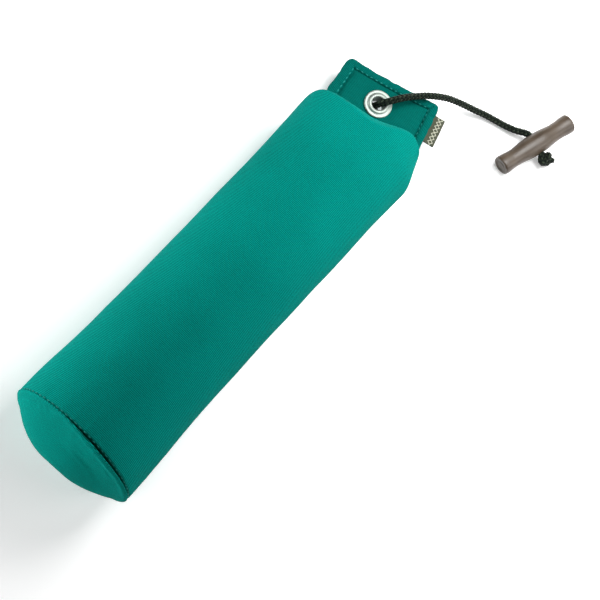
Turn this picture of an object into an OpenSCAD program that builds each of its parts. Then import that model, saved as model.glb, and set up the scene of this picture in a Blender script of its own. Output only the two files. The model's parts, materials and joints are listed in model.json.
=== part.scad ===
// Training bumper: a stuffed canvas tube with a sewn end tab, an eyelet, a short
// braided throwing cord and a toggle. It lies on its flattened underside.
// +X runs along the tube towards the tab and +Z is up. The origin is the centre of
// the underside. Every size is in millimetres.

/* [Tube] */
// Radius of the stuffed canvas tube
tube_r = 38.5; // [36:0.5:41]
// Height of the tube's centre line above the floor
axis_h = 27.5; // [26:0.5:31]
// Distance from the origin back to the closed end's seam
tube_back = 122; // [110:1:130]
// Distance from the origin forward to the start of the shoulder
tube_front = 113; // [100:1:114]
// Thickness of the canvas
canvas_t = 1.2; // [0.9:0.1:1.4]

/* [Closed end] */
// How far the round end panel bulges past its seam
end_bulge = 12; // [8:1:16]
// How far the end panel's rim stands proud of the tube
rim_h = 1; // [0.6:0.1:1.5]
// Length of the edges that are turned in at the seams
seam_turn = 10; // [6:1:14]
// Thickness of the edges that are turned in at the seams
seam_t = 1.6; // [1.2:0.1:2]

/* [Stuffing] */
// Thickness of the inner bag
liner_t = 0.6; // [0.4:0.1:0.8]
// Radius of the sleeve of weighting granules
core_r = 14; // [10:1:18]
// Length of the sleeve of weighting granules
core_len = 190; // [150:5:200]

/* [Tab] */
// Width of the tab
tab_w = 59; // [52:1:62]
// Length of the tab from its fold to its outer edge
tab_len = 32; // [30:1:38]
// Height of the tab's middle above the floor
tab_h = 14; // [13.5:0.5:16]
// Turn of the tab about the vertical
tab_yaw = 16; // [10:1:18]
// Radius of the tab's outer corners
tab_corner = 5; // [3:0.5:8]
// Thickness of the folded strip inside the tab
strip_t = 2.8; // [2.4:0.2:3.2]

/* [Eyelet] */
// Radius of the eyelet's flange and of its washer
eyelet_r = 8.5; // [7.5:0.25:9]
// Radius of the eyelet's hole
hole_r = 4; // [3.8:0.1:4.4]

/* [Label] */
// Length of the ribbon label along the tab's side
label_len = 17; // [12:1:20]
// How far the label stands out past the tab's side
label_out = 7; // [4:0.5:8]

/* [Cord and toggle] */
// Diameter of the braided cord
cord_d = 4; // [3.6:0.1:4.2]
// Radius of each knot
knot_r = 4.3; // [4.1:0.1:4.4]
// Length of the toggle
toggle_len = 54; // [44:1:60]
// Radius of the toggle's thick middle
toggle_r = 6.5; // [6:0.1:7]

/* [Hidden] */
$fn = 96;

// round end panel: part of a ball whose rim is the tube's own outline
dome_r = (tube_r * tube_r + end_bulge * end_bulge) / (2 * end_bulge);
dome_x = dome_r - tube_back - end_bulge;
dome_reach = 3 * end_bulge;
rim_w = 1.6;

// inner bag, which lies inside the turned-in seam edges
liner_r = tube_r - canvas_t - seam_t;
liner_floor = canvas_t + seam_t;
side_seam_w = 12;
thread_t = 0.35;
thread_w = 0.8;

// tab, in its own frame: the origin is on the eyelet's axis at mid thickness, and
// its X runs outward
eyelet_x = 156;
eyelet_y = 7;
tab_t = strip_t + 2 * canvas_t;
tip_x = 18;
root_x = tip_x - tab_len;
side_y = -33;
hem_t = 1.4;
stitch_in = 4.5;
stitch_pitch = 3.2;
stitch_len = 2.2;
root_row_x = root_x + 2;

// eyelet
barrel_r = hole_r + 0.9;
flange_t = 1.2;
lip_r = hole_r + 2.4;
lip_t = 0.8;
washer_t = 0.8;
curl_t = 0.6;
curl_r = barrel_r + 1;

// label
label_t = 0.9;
label_x = -5;
label_root = 6;

// shoulder: its brow is a smaller tube outline, turned part of the way to the tab
brow_at = [129, 1.5];
brow_r = 34.5;
brow_floor = 3;
brow_yaw = 12;
sleeve_gap = 0.4;
shoulder_end_x = root_x - tab_t / 2 - sleeve_gap;
shoulder_lip = 3;
// edges between the shoulder's four panels, as rise over run seen along the tube
panel_rise = 0.45;
far = 120;

// toggle, in its own frame: X along its length, and its cross hole along Y
toggle_at = [213, -78, toggle_r];
toggle_yaw = -14;
toggle_out = [sin(toggle_yaw), -cos(toggle_yaw), 0];
toggle_waist_r = toggle_r - 1.2;
toggle_flare_r = toggle_r - 0.6;
waist_at = 0.62;
flare_at = 0.94;
toggle_steps = 24;
cord_play = 0.05;

// cord: its route from inside the stop knot, up through the eyelet, over the tab's
// corner, down to the floor and through the toggle to the end knot
cord_r = cord_d / 2;
cord_sides = 10;
knot_steps = 8;
cord_route = [
    [155.1, 8.3, 5.3], [155.2, 8.2, 9], [155.5, 7.8, 13], [156.2, 6.8, 17],
    [156.9, 5.8, 19.4], [158.2, 4.3, 22], [160.6, 2.4, 23.9], [164, 0.3, 24.6],
    [168.6, -2.7, 24.6], [174, -6.6, 23.8], [179.4, -10.8, 22.4], [184.6, -15.4, 20.2],
    [189.8, -20.6, 17.2], [194.4, -26.2, 13.4], [198.6, -32, 9.4], [202.2, -37.8, 6.2],
    [205.6, -44, 4], [208, -50.4, 3], [209.8, -57, 3.2], [211.2, -63.6, 4.6],
    toggle_at - 9 * toggle_out, toggle_at, toggle_at + 7 * toggle_out,
    toggle_at + 11.5 * toggle_out - [0, 0, 1]
];
stop_knot_at = [155.1, 8.3, 1 + knot_r];
end_knot_at = toggle_at + (toggle_r + 0.5 + knot_r) * toggle_out - [0, 0, 1];

// ---- shared shapes ----

// Outline of the tube seen along its length: a circle cut flat by the floor
module tube_outline(r, floor_z) {
    intersection() {
        translate([0, axis_h]) circle(r);
        translate([-2 * r, floor_z]) square(4 * r);
    }
}

// Straight run of that outline from x0 to x1
module tube_run(x0, x1, r, floor_z) {
    translate([x0, 0, 0])
        rotate([90, 0, 90])
            linear_extrude(x1 - x0) tube_outline(r, floor_z);
}

// Solid bulge behind the closed end's seam, set in by t
module dome_form(t, r) {
    intersection() {
        translate([dome_x, 0, axis_h]) sphere(dome_r - t);
        tube_run(-tube_back - dome_reach, -tube_back, r, t);
    }
}

// Solid form of the inner bag and its bulge, set in by t
module bag_form(t) {
    tube_run(-tube_back, tube_front - t, liner_r - t, liner_floor + t);
    intersection() {
        translate([dome_x, 0, axis_h]) sphere(dome_r - canvas_t - t);
        tube_run(-tube_back - dome_reach, -tube_back, liner_r - t, liner_floor + t);
    }
}

// Places a child in the tab's own frame
module at_tab() {
    translate([eyelet_x, eyelet_y, tab_h]) rotate([0, 0, tab_yaw]) children();
}

// Outline of the tab, set in by t on its three free sides
module tab_outline(t) {
    reach = tip_x - tab_corner;
    difference() {
        union() {
            translate([root_x, side_y + t]) square([reach - root_x, tab_w - 2 * t]);
            translate([root_x, side_y + tab_corner])
                square([tip_x - t - root_x, tab_w - 2 * tab_corner]);
            for (y = [side_y + tab_corner, side_y + tab_w - tab_corner])
                translate([reach, y]) circle(tab_corner - t);
        }
        circle(barrel_r);
    }
}

// Slot and body of the label, which share one size
module label_slab() {
    translate([label_x, side_y - label_out, -label_t / 2])
        cube([label_len, label_out + label_root, label_t]);
}

// One stitch lying on the plane z = 0, turned by a
module stitch(x, y, a) {
    translate([x, y, 0])
        rotate([0, 0, a])
            translate([-stitch_len / 2, -thread_w / 2, 0])
                cube([stitch_len, thread_w, thread_t]);
}

// The tab's rows of stitches: two sides, the outer edge and the row at the fold
module stitch_rows() {
    row_y0 = side_y + stitch_in;
    row_y1 = side_y + tab_w - stitch_in;
    row_x1 = tip_x - stitch_in;
    for (x = [root_x + 5 : stitch_pitch : row_x1 - 2], y = [row_y0, row_y1])
        stitch(x, y, 0);
    for (y = [row_y0 + 1.5 : stitch_pitch : row_y1 - 1], x = [root_row_x, row_x1])
        stitch(x, y, 90);
}

// Solid form of the shoulder between the tube and the tab's fold, set in by t; the
// extra length reaches back into the tube
module shoulder_form(t, back) {
    hull($fn = 48) {
        tube_run(tube_front - back, tube_front + 0.1, tube_r - t, t);
        translate([brow_at.x, brow_at.y, 0])
            rotate([0, 0, brow_yaw]) tube_run(-t - 0.1, -t, brow_r - t, brow_floor + t);
        at_tab()
            translate([shoulder_end_x - shoulder_lip, side_y + t, t - tab_t / 2])
                cube([shoulder_lip - t, tab_w - 2 * t, tab_t - 2 * t]);
    }
}

// Part of the shoulder's shell that lies inside an outline seen along the tube
module shoulder_panel(points) {
    intersection() {
        difference() {
            shoulder_form(0, 0);
            shoulder_form(canvas_t, 1);
        }
        translate([tube_front - 1, 0, tab_h])
            rotate([90, 0, 90]) linear_extrude(2 * far) polygon(points);
    }
}

// Ring of the tube's outline between two radii, from x0 to x1
module outline_ring(x0, x1, r_out, floor_out, r_in, floor_in) {
    difference() {
        tube_run(x0, x1, r_out, floor_out);
        tube_run(x0 - 1, x1 + 1, r_in, floor_in);
    }
}

// ---- cord sweep ----

function unit(v) = v / norm(v);

// Direction of travel at ring i of a route
function heading(route, i) =
    unit(route[min(i + 1, len(route) - 1)] - route[max(i - 1, 0)]);

// Ring of points round the route at i; the sideways guide is never along the route
function ring(route, i, r, sides, guide) =
    let (
        h = heading(route, i),
        a = unit(guide - (guide * h) * h),
        b = cross(h, a)
    )
    [for (k = [0 : sides - 1])
        route[i] + r * (cos(360 * k / sides) * a + sin(360 * k / sides) * b)];

// Closed tube along a route
module swept_tube(route, r, sides, guide) {
    n = len(route);
    points = [for (i = [0 : n - 1]) each ring(route, i, r, sides, guide)];
    walls = [for (i = [0 : n - 2], k = [0 : sides - 1])
        let (j = (k + 1) % sides)
        [i * sides + k, (i + 1) * sides + k, (i + 1) * sides + j, i * sides + j]];
    first = [for (k = [0 : sides - 1]) k];
    last = [for (k = [sides - 1 : -1 : 0]) (n - 1) * sides + k];
    polyhedron(points, concat([first], walls, [last]), convexity = 6);
}

// Radius of the toggle at s, which runs from 0 at its middle to 1 at its end
function toggle_radius(s) =
    s < waist_at
        ? toggle_waist_r + (toggle_r - toggle_waist_r) * (1 + cos(180 * s / waist_at)) / 2
    : s < flare_at
        ? toggle_waist_r + (toggle_flare_r - toggle_waist_r)
            * (1 - cos(180 * (s - waist_at) / (flare_at - waist_at))) / 2
    : toggle_flare_r - 0.7 * pow((s - flare_at) / (1 - flare_at), 2);

// Radius of a tight knot at s, which runs from -1 to 1 along the cord: two turns of
// cord side by side, with a shallow waist between them
function knot_radius(s) =
    knot_r * sqrt(1 - pow(abs(s), 3)) * (0.965 - 0.035 * cos(360 * s));

// Knot whose cord leaves it along Z, before it is turned by tilt
module knot(at, tilt) {
    translate(at)
        rotate(tilt)
            rotate_extrude()
                polygon([for (i = [-knot_steps : knot_steps])
                    let (s = i / knot_steps) [knot_radius(s), s * knot_r]]);
}

// ---- bumper ----

module cover_tube() {
    color([0.02, 0.58, 0.54])
        outline_ring(-tube_back, tube_front, tube_r, 0, tube_r - canvas_t, canvas_t);
}

module end_panel() {
    color([0.01, 0.5, 0.47]) {
        difference() {
            dome_form(0, tube_r + rim_h);
            dome_form(canvas_t, tube_r);
            tube_run(-tube_back - rim_w, -tube_back + 1, tube_r - seam_t - canvas_t, canvas_t);
        }
        outline_ring(-tube_back - rim_w, -tube_back, tube_r + rim_h, 0,
            tube_r - canvas_t - seam_t, canvas_t);
    }
}

module end_seam_allowance() {
    color([0.02, 0.42, 0.4])
        outline_ring(-tube_back, -tube_back + seam_turn,
            tube_r - canvas_t, canvas_t, liner_r, liner_floor);
}

module end_seam_thread() {
    color([0.03, 0.3, 0.28])
        intersection() {
            outline_ring(-tube_back + 2, -tube_back + 2 + thread_w,
                tube_r + thread_t, 0, tube_r, -1);
            translate([-tube_back, -far / 2, 1]) cube(far);
        }
}

module side_seam_allowance() {
    color([0.02, 0.42, 0.4])
        translate([-tube_back + seam_turn, -side_seam_w / 2, canvas_t])
            cube([tube_back + tube_front - seam_turn, side_seam_w, seam_t - thread_t]);
}

module side_seam_thread() {
    color([0.03, 0.3, 0.28])
        for (y = [-side_seam_w / 4, side_seam_w / 4])
            translate([-tube_back + seam_turn, y - thread_w / 2, liner_floor - thread_t])
                cube([tube_back + tube_front - seam_turn, thread_w, thread_t]);
}

module shoulder_top() {
    color([0.03, 0.5, 0.47])
        shoulder_panel([[0, 0], [far, far * panel_rise], [far, far],
            [-far, far], [-far, far * panel_rise]]);
}

module shoulder_bottom() {
    color([0.03, 0.44, 0.42])
        shoulder_panel([[0, 0], [-far, -far * panel_rise], [-far, -far],
            [far, -far], [far, -far * panel_rise]]);
}

module gusset_left() {
    color([0.02, 0.36, 0.34])
        shoulder_panel([[0, 0], [far, -far * panel_rise], [far, far * panel_rise]]);
}

module gusset_right() {
    color([0.02, 0.36, 0.34])
        shoulder_panel([[0, 0], [-far, far * panel_rise], [-far, -far * panel_rise]]);
}

module liner_bag() {
    color([0.82, 0.8, 0.74])
        difference() {
            bag_form(0);
            bag_form(liner_t);
        }
}

module wadding() {
    color([0.93, 0.92, 0.88])
        difference() {
            bag_form(liner_t);
            translate([-core_len / 2, 0, axis_h]) rotate([0, 90, 0]) cylinder(core_len, r = core_r);
        }
}

module neck_wadding() {
    color([0.93, 0.92, 0.88]) shoulder_form(canvas_t, 0);
}

module granule_sleeve() {
    color([0.35, 0.33, 0.3])
        translate([-core_len / 2, 0, axis_h]) rotate([0, 90, 0]) cylinder(core_len, r = core_r);
}

// ---- tab ----

module tab_panel(z) {
    at_tab() translate([0, 0, z]) linear_extrude(canvas_t) tab_outline(hem_t);
}

module tab_top_panel() {
    color([0.03, 0.46, 0.42]) tab_panel(strip_t / 2);
}

module tab_bottom_panel() {
    color([0.03, 0.4, 0.37]) tab_panel(-strip_t / 2 - canvas_t);
}

module tab_strip() {
    color([0.3, 0.34, 0.32])
        at_tab()
            difference() {
                union() {
                    translate([0, 0, -strip_t / 2]) linear_extrude(strip_t) tab_outline(hem_t);
                    intersection() {
                        translate([root_x, side_y + hem_t, 0])
                            rotate([-90, 0, 0]) cylinder(tab_w - 2 * hem_t, r = tab_t / 2);
                        translate([root_x - tab_t, side_y, -tab_t]) cube([tab_t, tab_w, 2 * tab_t]);
                    }
                }
                label_slab();
            }
}

module tab_hem() {
    color([0.02, 0.4, 0.37])
        at_tab()
            difference() {
                translate([0, 0, -tab_t / 2]) linear_extrude(tab_t) tab_outline(0);
                translate([0, 0, -tab_t]) linear_extrude(2 * tab_t) tab_outline(hem_t);
                cylinder(2 * tab_t, r = barrel_r, center = true);
                label_slab();
            }
}

module tab_stitching() {
    color([0.02, 0.26, 0.25]) at_tab() translate([0, 0, tab_t / 2]) stitch_rows();
}

module tab_back_stitching() {
    color([0.02, 0.26, 0.25])
        at_tab() translate([0, 0, -tab_t / 2 - thread_t]) stitch_rows();
}

module eyelet() {
    color([0.66, 0.65, 0.62])
        at_tab()
            difference() {
                union() {
                    translate([0, 0, tab_t / 2]) cylinder(flange_t, r = eyelet_r);
                    translate([0, 0, tab_t / 2 + flange_t]) cylinder(lip_t, r = lip_r);
                    translate([0, 0, -tab_t / 2 - washer_t])
                        cylinder(tab_t + washer_t, r = barrel_r);
                    translate([0, 0, -tab_t / 2 - washer_t - curl_t]) cylinder(curl_t, r = curl_r);
                }
                cylinder(4 * tab_t, r = hole_r, center = true);
            }
}

module eyelet_washer() {
    color([0.6, 0.59, 0.56])
        at_tab()
            translate([0, 0, -tab_t / 2 - washer_t])
                difference() {
                    cylinder(washer_t, r = eyelet_r);
                    translate([0, 0, -1]) cylinder(washer_t + 2, r = barrel_r);
                }
}

module side_label() {
    color([0.24, 0.27, 0.2])
        at_tab() {
            label_slab();
            translate([label_x, side_y - label_out, 0])
                rotate([0, 90, 0]) cylinder(label_len, r = label_t / 2);
        }
}

// ---- cord and toggle ----

module throw_cord() {
    color([0.1, 0.13, 0.11]) swept_tube(cord_route, cord_r, cord_sides, [1, 1, 0]);
}

module stop_knot() {
    color([0.1, 0.13, 0.11]) knot(stop_knot_at, [0, 0, 0]);
}

module end_knot() {
    color([0.1, 0.13, 0.11]) knot(end_knot_at, [90, 0, toggle_yaw]);
}

module toggle() {
    color([0.5, 0.43, 0.36])
        translate(toggle_at)
            rotate([0, 0, toggle_yaw])
                difference() {
                    rotate([0, 90, 0])
                        rotate_extrude()
                            polygon(concat(
                                [[0, -toggle_len / 2]],
                                [for (i = [-toggle_steps : toggle_steps])
                                    let (s = i / toggle_steps)
                                    [toggle_radius(abs(s)), s * toggle_len / 2]],
                                [[0, toggle_len / 2]]));
                    rotate([90, 0, 0])
                        cylinder(4 * toggle_r, r = cord_r + cord_play, center = true);
                }
}

cover_tube();
end_panel();
end_seam_allowance();
end_seam_thread();
side_seam_allowance();
side_seam_thread();
shoulder_top();
shoulder_bottom();
gusset_left();
gusset_right();
liner_bag();
wadding();
neck_wadding();
granule_sleeve();
tab_top_panel();
tab_bottom_panel();
tab_strip();
tab_hem();
tab_stitching();
tab_back_stitching();
eyelet();
eyelet_washer();
side_label();
throw_cord();
stop_knot();
end_knot();
toggle();
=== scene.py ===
import json
import math

import bmesh
import bpy
import numpy as np
from mathutils import Matrix, Vector, noise


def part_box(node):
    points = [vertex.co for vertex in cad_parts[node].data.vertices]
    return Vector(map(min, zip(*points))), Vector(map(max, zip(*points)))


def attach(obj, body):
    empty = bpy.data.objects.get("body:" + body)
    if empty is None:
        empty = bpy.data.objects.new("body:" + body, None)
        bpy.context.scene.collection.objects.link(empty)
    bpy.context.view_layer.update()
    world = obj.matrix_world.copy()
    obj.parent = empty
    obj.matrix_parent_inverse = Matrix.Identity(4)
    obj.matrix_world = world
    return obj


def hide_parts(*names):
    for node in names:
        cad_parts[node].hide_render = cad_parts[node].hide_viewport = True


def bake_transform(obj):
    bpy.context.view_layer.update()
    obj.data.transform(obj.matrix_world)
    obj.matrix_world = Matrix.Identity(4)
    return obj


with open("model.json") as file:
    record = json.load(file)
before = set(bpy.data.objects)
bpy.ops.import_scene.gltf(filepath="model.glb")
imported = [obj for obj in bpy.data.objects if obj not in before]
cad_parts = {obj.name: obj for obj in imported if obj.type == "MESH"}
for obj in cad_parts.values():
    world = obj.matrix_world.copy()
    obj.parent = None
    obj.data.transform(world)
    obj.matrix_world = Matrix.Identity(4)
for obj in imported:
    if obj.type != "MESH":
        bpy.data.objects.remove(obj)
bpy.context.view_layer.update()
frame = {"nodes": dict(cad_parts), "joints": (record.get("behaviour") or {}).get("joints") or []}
print("frame loaded with", len(frame["nodes"]), "CAD nodes")

scene = bpy.context.scene
scene.view_settings.view_transform = "Standard"  # keeps the dye's full saturation
mm = 0.001
up = Vector((0, 0, 1))

# places, all worked out from the frame

joints = {joint["name"]: joint for joint in frame["joints"]}
tubeLow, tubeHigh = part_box("cover_tube")
tubeRadius = (tubeHigh.y - tubeLow.y) / 2
tubeAxis = tubeHigh.z - tubeRadius  # height of the tube's centre line
tubeBack, tubeFront = tubeLow.x, tubeHigh.x

foldAt = Vector(joints["tab_fold"]["pos_m"])
across = Vector(joints["tab_fold"]["axis"]).normalized()  # along the fold, to the left
outward = across.cross(up)  # away from the tube
eyeLow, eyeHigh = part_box("eyelet")
eyeAt = Vector(((eyeLow.x + eyeHigh.x) / 2, (eyeLow.y + eyeHigh.y) / 2, foldAt.z))
toggleAt = Vector(joints["toggle_spin"]["pos_m"])
toggleOut = Vector(joints["toggle_spin"]["axis"]).normalized()  # the way the cord leaves it


def middleOf(node):
    low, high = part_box(node)
    return (low + high) / 2


# camera, lights and floor

cameraSet = {
    "elevation": 69.6,
    "heading": -4.5,
    "distance": 1.278,
    "roll": -47.5,
    "lens": 135.2,
    "target": (0.0321, -0.0372, 0.02),
}


def makeCamera():
    e, h = math.radians(cameraSet["elevation"]), math.radians(cameraSet["heading"])
    back = Vector((-math.cos(h) * math.cos(e), -math.sin(h) * math.cos(e), math.sin(e)))
    right = Vector((math.sin(h), -math.cos(h), 0))
    top = back.cross(right)
    turn = math.radians(cameraSet["roll"])
    x = right * math.cos(turn) - top * math.sin(turn)
    y = right * math.sin(turn) + top * math.cos(turn)
    data = bpy.data.cameras.new("camera")
    data.lens = cameraSet["lens"]
    data.clip_start, data.clip_end = 0.05, 20
    camera = bpy.data.objects.new("camera", data)
    place = Vector(cameraSet["target"]) + back * cameraSet["distance"]
    camera.matrix_world = Matrix.Translation(place) @ Matrix((x, y, back)).transposed().to_4x4()
    scene.collection.objects.link(camera)
    scene.camera = camera


def softbox(name, place, target, size, watts):
    data = bpy.data.lights.new(name, "AREA")
    data.shape = "RECTANGLE"
    data.size, data.size_y = size
    data.energy = watts
    light = bpy.data.objects.new(name, data)
    place = Vector(place)
    light.matrix_world = (
        Matrix.Translation(place)
        @ (Vector(target) - place).to_track_quat("-Z", "Y").to_matrix().to_4x4()
    )
    scene.collection.objects.link(light)


lightSet = {
    "skyLow": 0.0,
    "skyHigh": 0.04,
    "skyWay": (0.75, 0.25, 0.25),  # the way to the brightest part of the room
    "floorGlow": 0.18,  # share of the far floor's glow that the near floor has
    "floorSize": 12.0,
    "floorLevel": -0.3 * mm,
    "boxes": {  # where each softbox stands, what it looks at, its size and its watts
        "rightBox": ((0.42, -0.75, 0.42), (0.08, 0, 0.03), (0.5, 0.4), 3.0),
        "topBox": ((0.27, -0.06, 0.32), (0.1, 0, 0.03), (0.25, 0.25), 2.15),
        "endBox": ((-0.75, 0.6, 0.2), (-0.12, 0, 0.03), (0.4, 0.3), 3.6),
        "endLowBox": ((-0.7, 0.65, 0.1), (-0.12, 0, 0.03), (0.4, 0.15), 2.5),
        "leftBox": ((-0.25, 0.65, 0.1), (-0.1, 0, 0.03), (0.4, 0.15), 3.6),
    },
}


def makeLights():
    world = bpy.data.worlds.new("studio")
    world.use_nodes = True
    world.node_tree.nodes.clear()
    g = Graph(world.node_tree)
    way = g.node("ShaderNodeTexCoord")
    toward = g.vectors("DOT_PRODUCT", way, Vector(lightSet["skyWay"]).normalized(), out=1)
    strength = g.node("ShaderNodeMapRange", {}, (toward, -1.0, 1.0, lightSet["skyLow"],
                                                  lightSet["skyHigh"]))
    sky = g.node("ShaderNodeBackground", {}, {"Color": (1, 1, 1, 1), "Strength": strength})
    g.node("ShaderNodeOutputWorld", {}, {"Surface": sky})
    scene.world = world
    for name, (place, target, size, watts) in lightSet["boxes"].items():
        softbox(name, place, target, size, watts)


# node helpers


class Value:
    # a socket that Python arithmetic can be written on

    def __init__(self, graph, socket):
        self.graph = graph
        self.socket = socket

    def maths(self, operation, *values):
        return self.graph.maths(operation, *values)

    def __add__(self, other):
        return self.maths("ADD", self, other)

    def __radd__(self, other):
        return self.maths("ADD", other, self)

    def __sub__(self, other):
        return self.maths("SUBTRACT", self, other)

    def __rsub__(self, other):
        return self.maths("SUBTRACT", other, self)

    def __mul__(self, other):
        return self.maths("MULTIPLY", self, other)

    def __rmul__(self, other):
        return self.maths("MULTIPLY", other, self)

    def __truediv__(self, other):
        return self.maths("DIVIDE", self, other)

    def __pow__(self, other):
        return self.maths("POWER", self, other)


class Graph:
    # a node tree, and the one way that nodes are added to it

    def __init__(self, tree):
        self.tree = tree

    def node(self, kind, settings=None, sockets=None, out=0):
        made = self.tree.nodes.new(kind)
        for key, value in (settings or {}).items():
            if key == "stops":
                ramp = made.color_ramp
                while len(ramp.elements) < len(value):
                    ramp.elements.new(0.5)
                for element, (place, colour) in zip(ramp.elements, value):
                    element.position = place
                    element.color = colour
            else:
                setattr(made, key, value)
        pairs = sockets.items() if isinstance(sockets, dict) else enumerate(sockets or ())
        for key, value in pairs:
            if isinstance(value, Value):
                self.tree.links.new(value.socket, made.inputs[key])
            elif value is not None:
                made.inputs[key].default_value = value
        return Value(self, made.outputs[out] if made.outputs else made.inputs[0])

    def other(self, value, out):
        # another output of the node that a value came from
        return Value(self, value.socket.node.outputs[out])

    def maths(self, operation, *values):
        return self.node("ShaderNodeMath", {"operation": operation}, values)

    def sin(self, value):
        return self.maths("SINE", value)

    def absolute(self, value):
        return self.maths("ABSOLUTE", value)

    def vectors(self, operation, *values, scale=None, out=0):
        sockets = {**dict(enumerate(values)), "Scale": scale}
        return self.node("ShaderNodeVectorMath", {"operation": operation}, sockets, out)

    def xyz(self, x, y, z):
        return self.node("ShaderNodeCombineXYZ", {}, (x, y, z))

    def attribute(self, name):
        return self.node("ShaderNodeAttribute", {"attribute_name": name}, {}, 2)

    def named(self, name, kind="FLOAT_VECTOR"):
        return self.node("GeometryNodeInputNamedAttribute", {"data_type": kind}, (name,))

    def spread(self, value, low, high, toLow=0.0, toHigh=1.0):
        # maps low..high on to toLow..toHigh, and holds it there
        return self.node("ShaderNodeMapRange", {"interpolation_type": "SMOOTHSTEP"},
                         {0: value, 1: low, 2: high, 3: toLow, 4: toHigh})

    def mix(self, share, a, b, blend="MIX"):
        settings = {"data_type": "RGBA", "blend_type": blend}
        return self.node("ShaderNodeMix", settings, {0: share, 6: a, 7: b}, 2)

    def noise(self, place, scale, detail=2.0, rough=0.5):
        sockets = {"Vector": place, "Scale": scale, "Detail": detail, "Roughness": rough}
        return self.node("ShaderNodeTexNoise", {}, sockets)

    def stretched(self, place, scale, turn=(0, 0, 0), centre=(0, 0, 0)):
        # moves centre to the origin, turns it back and scales it
        moved = self.node("ShaderNodeMapping", {"vector_type": "TEXTURE"},
                          {"Vector": place, "Location": centre, "Rotation": turn})
        return self.node("ShaderNodeMapping", {}, {"Vector": moved, "Scale": scale})

    def split(self, vector):
        parts = self.node("ShaderNodeSeparateXYZ", {}, (vector,))
        return parts, self.other(parts, 1), self.other(parts, 2)


def newMaterial(name):
    material = bpy.data.materials.new(name)
    material.use_nodes = True
    material.node_tree.nodes.clear()
    return material, Graph(material.node_tree)


def finishMaterial(graph, constants, links, height=None, bump=(0.3, 0.3 * mm)):
    # the shader: constants are set on its own sockets, and links vary over the surface
    values = {**constants, **links}
    if height is not None:
        sockets = {"Strength": bump[0], "Distance": bump[1], "Height": height}
        values["Normal"] = graph.node("ShaderNodeBump", {}, sockets)
    shader = graph.node("ShaderNodeBsdfPrincipled", {}, values)
    graph.node("ShaderNodeOutputMaterial", {}, {"Surface": shader})


def objectPlace(graph):
    return graph.node("ShaderNodeTexCoord", {}, {}, 3)


def surfacePlace(graph):
    return graph.node("ShaderNodeUVMap", {"uv_map": "cut"}, {})


def rgba(red, green, blue):
    return (red, green, blue, 1)


# materials

coverCanvasSet = {
    # light is the yarn crowns' colour, dark is painted shade for the weave's hollows
    "light": rgba(0.0008, 0.31, 0.262),
    "dark": rgba(0.0005, 0.092, 0.074),
    "rib": 0.92 * mm,  # spacing of the thick weft
    "yarn": 0.58 * mm,  # spacing of the fine warp
    "bump": (0.35, 0.2 * mm),
}
# darker than the cover's canvas: partly a darker cloth and partly painted shade
tabCanvasSet = {
    "light": rgba(0.001, 0.165, 0.14),
    "dark": rgba(0.0006, 0.062, 0.05),
    "rib": 0.8 * mm,
    "yarn": 0.6 * mm,
    "bump": (0.6, 0.3 * mm),
}


def makeCanvas(name, weaveSet):
    # plain weave of thick weft ribs and finer warp yarns, in metres on the cut cloth, with painted
    # shade that darkens the weave's hollows and lightens the yarn crowns
    material, g = newMaterial(name)
    place = objectPlace(g)
    u, v, _ = g.split(surfacePlace(g))
    drift = g.noise(place, 55, 2) - 0.5
    slub = g.noise(place, 420, 1) - 0.5
    row = v / weaveSet["rib"] + drift * 0.5 + slub * 0.22
    column = u / weaveSet["yarn"] + drift * 0.7 + slub * 0.25
    rowShape = g.sin(row * (2 * math.pi)) * 0.5 + 0.5
    offset = g.maths("FLOOR", row + 0.25) * 0.5
    columnShape = g.sin((column + offset) * (2 * math.pi)) * 0.5 + 0.5
    weave = rowShape * 0.42 + columnShape * (0.28 + rowShape * 0.3)
    fuzz = g.noise(place, 2600, 2, 0.7)
    wear = g.noise(place, 16, 3)
    # painted shade: the colour follows the weave's height and is darker in its hollows; fuzz and wear
    # add random tone
    tone = g.spread(weave + (fuzz - 0.5) * 0.8 + (wear - 0.5) * 0.3, 0.12, 0.9)
    colour = g.mix(tone, weaveSet["dark"], weaveSet["light"])
    rough = g.spread(fuzz, 0.2, 0.8, 0.82, 0.97)
    finishMaterial(g, {"Specular IOR Level": 0.015}, {"Base Color": colour, "Roughness": rough},
                   weave + fuzz * 0.35, weaveSet["bump"])
    return material


def makeThread(name, light, dark):
    material, g = newMaterial(name)
    place = objectPlace(g)
    twist = g.node("ShaderNodeTexWave", {"bands_direction": "DIAGONAL"},
                   {"Vector": place, "Scale": 900, "Distortion": 2.5, "Detail": 1})
    colour = g.mix(g.other(twist, 1), dark, light)
    finishMaterial(g, {"Specular IOR Level": 0.25, "Roughness": 0.55},
                   {"Base Color": colour}, g.other(twist, 1), (0.4, 0.1 * mm))
    return material


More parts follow.
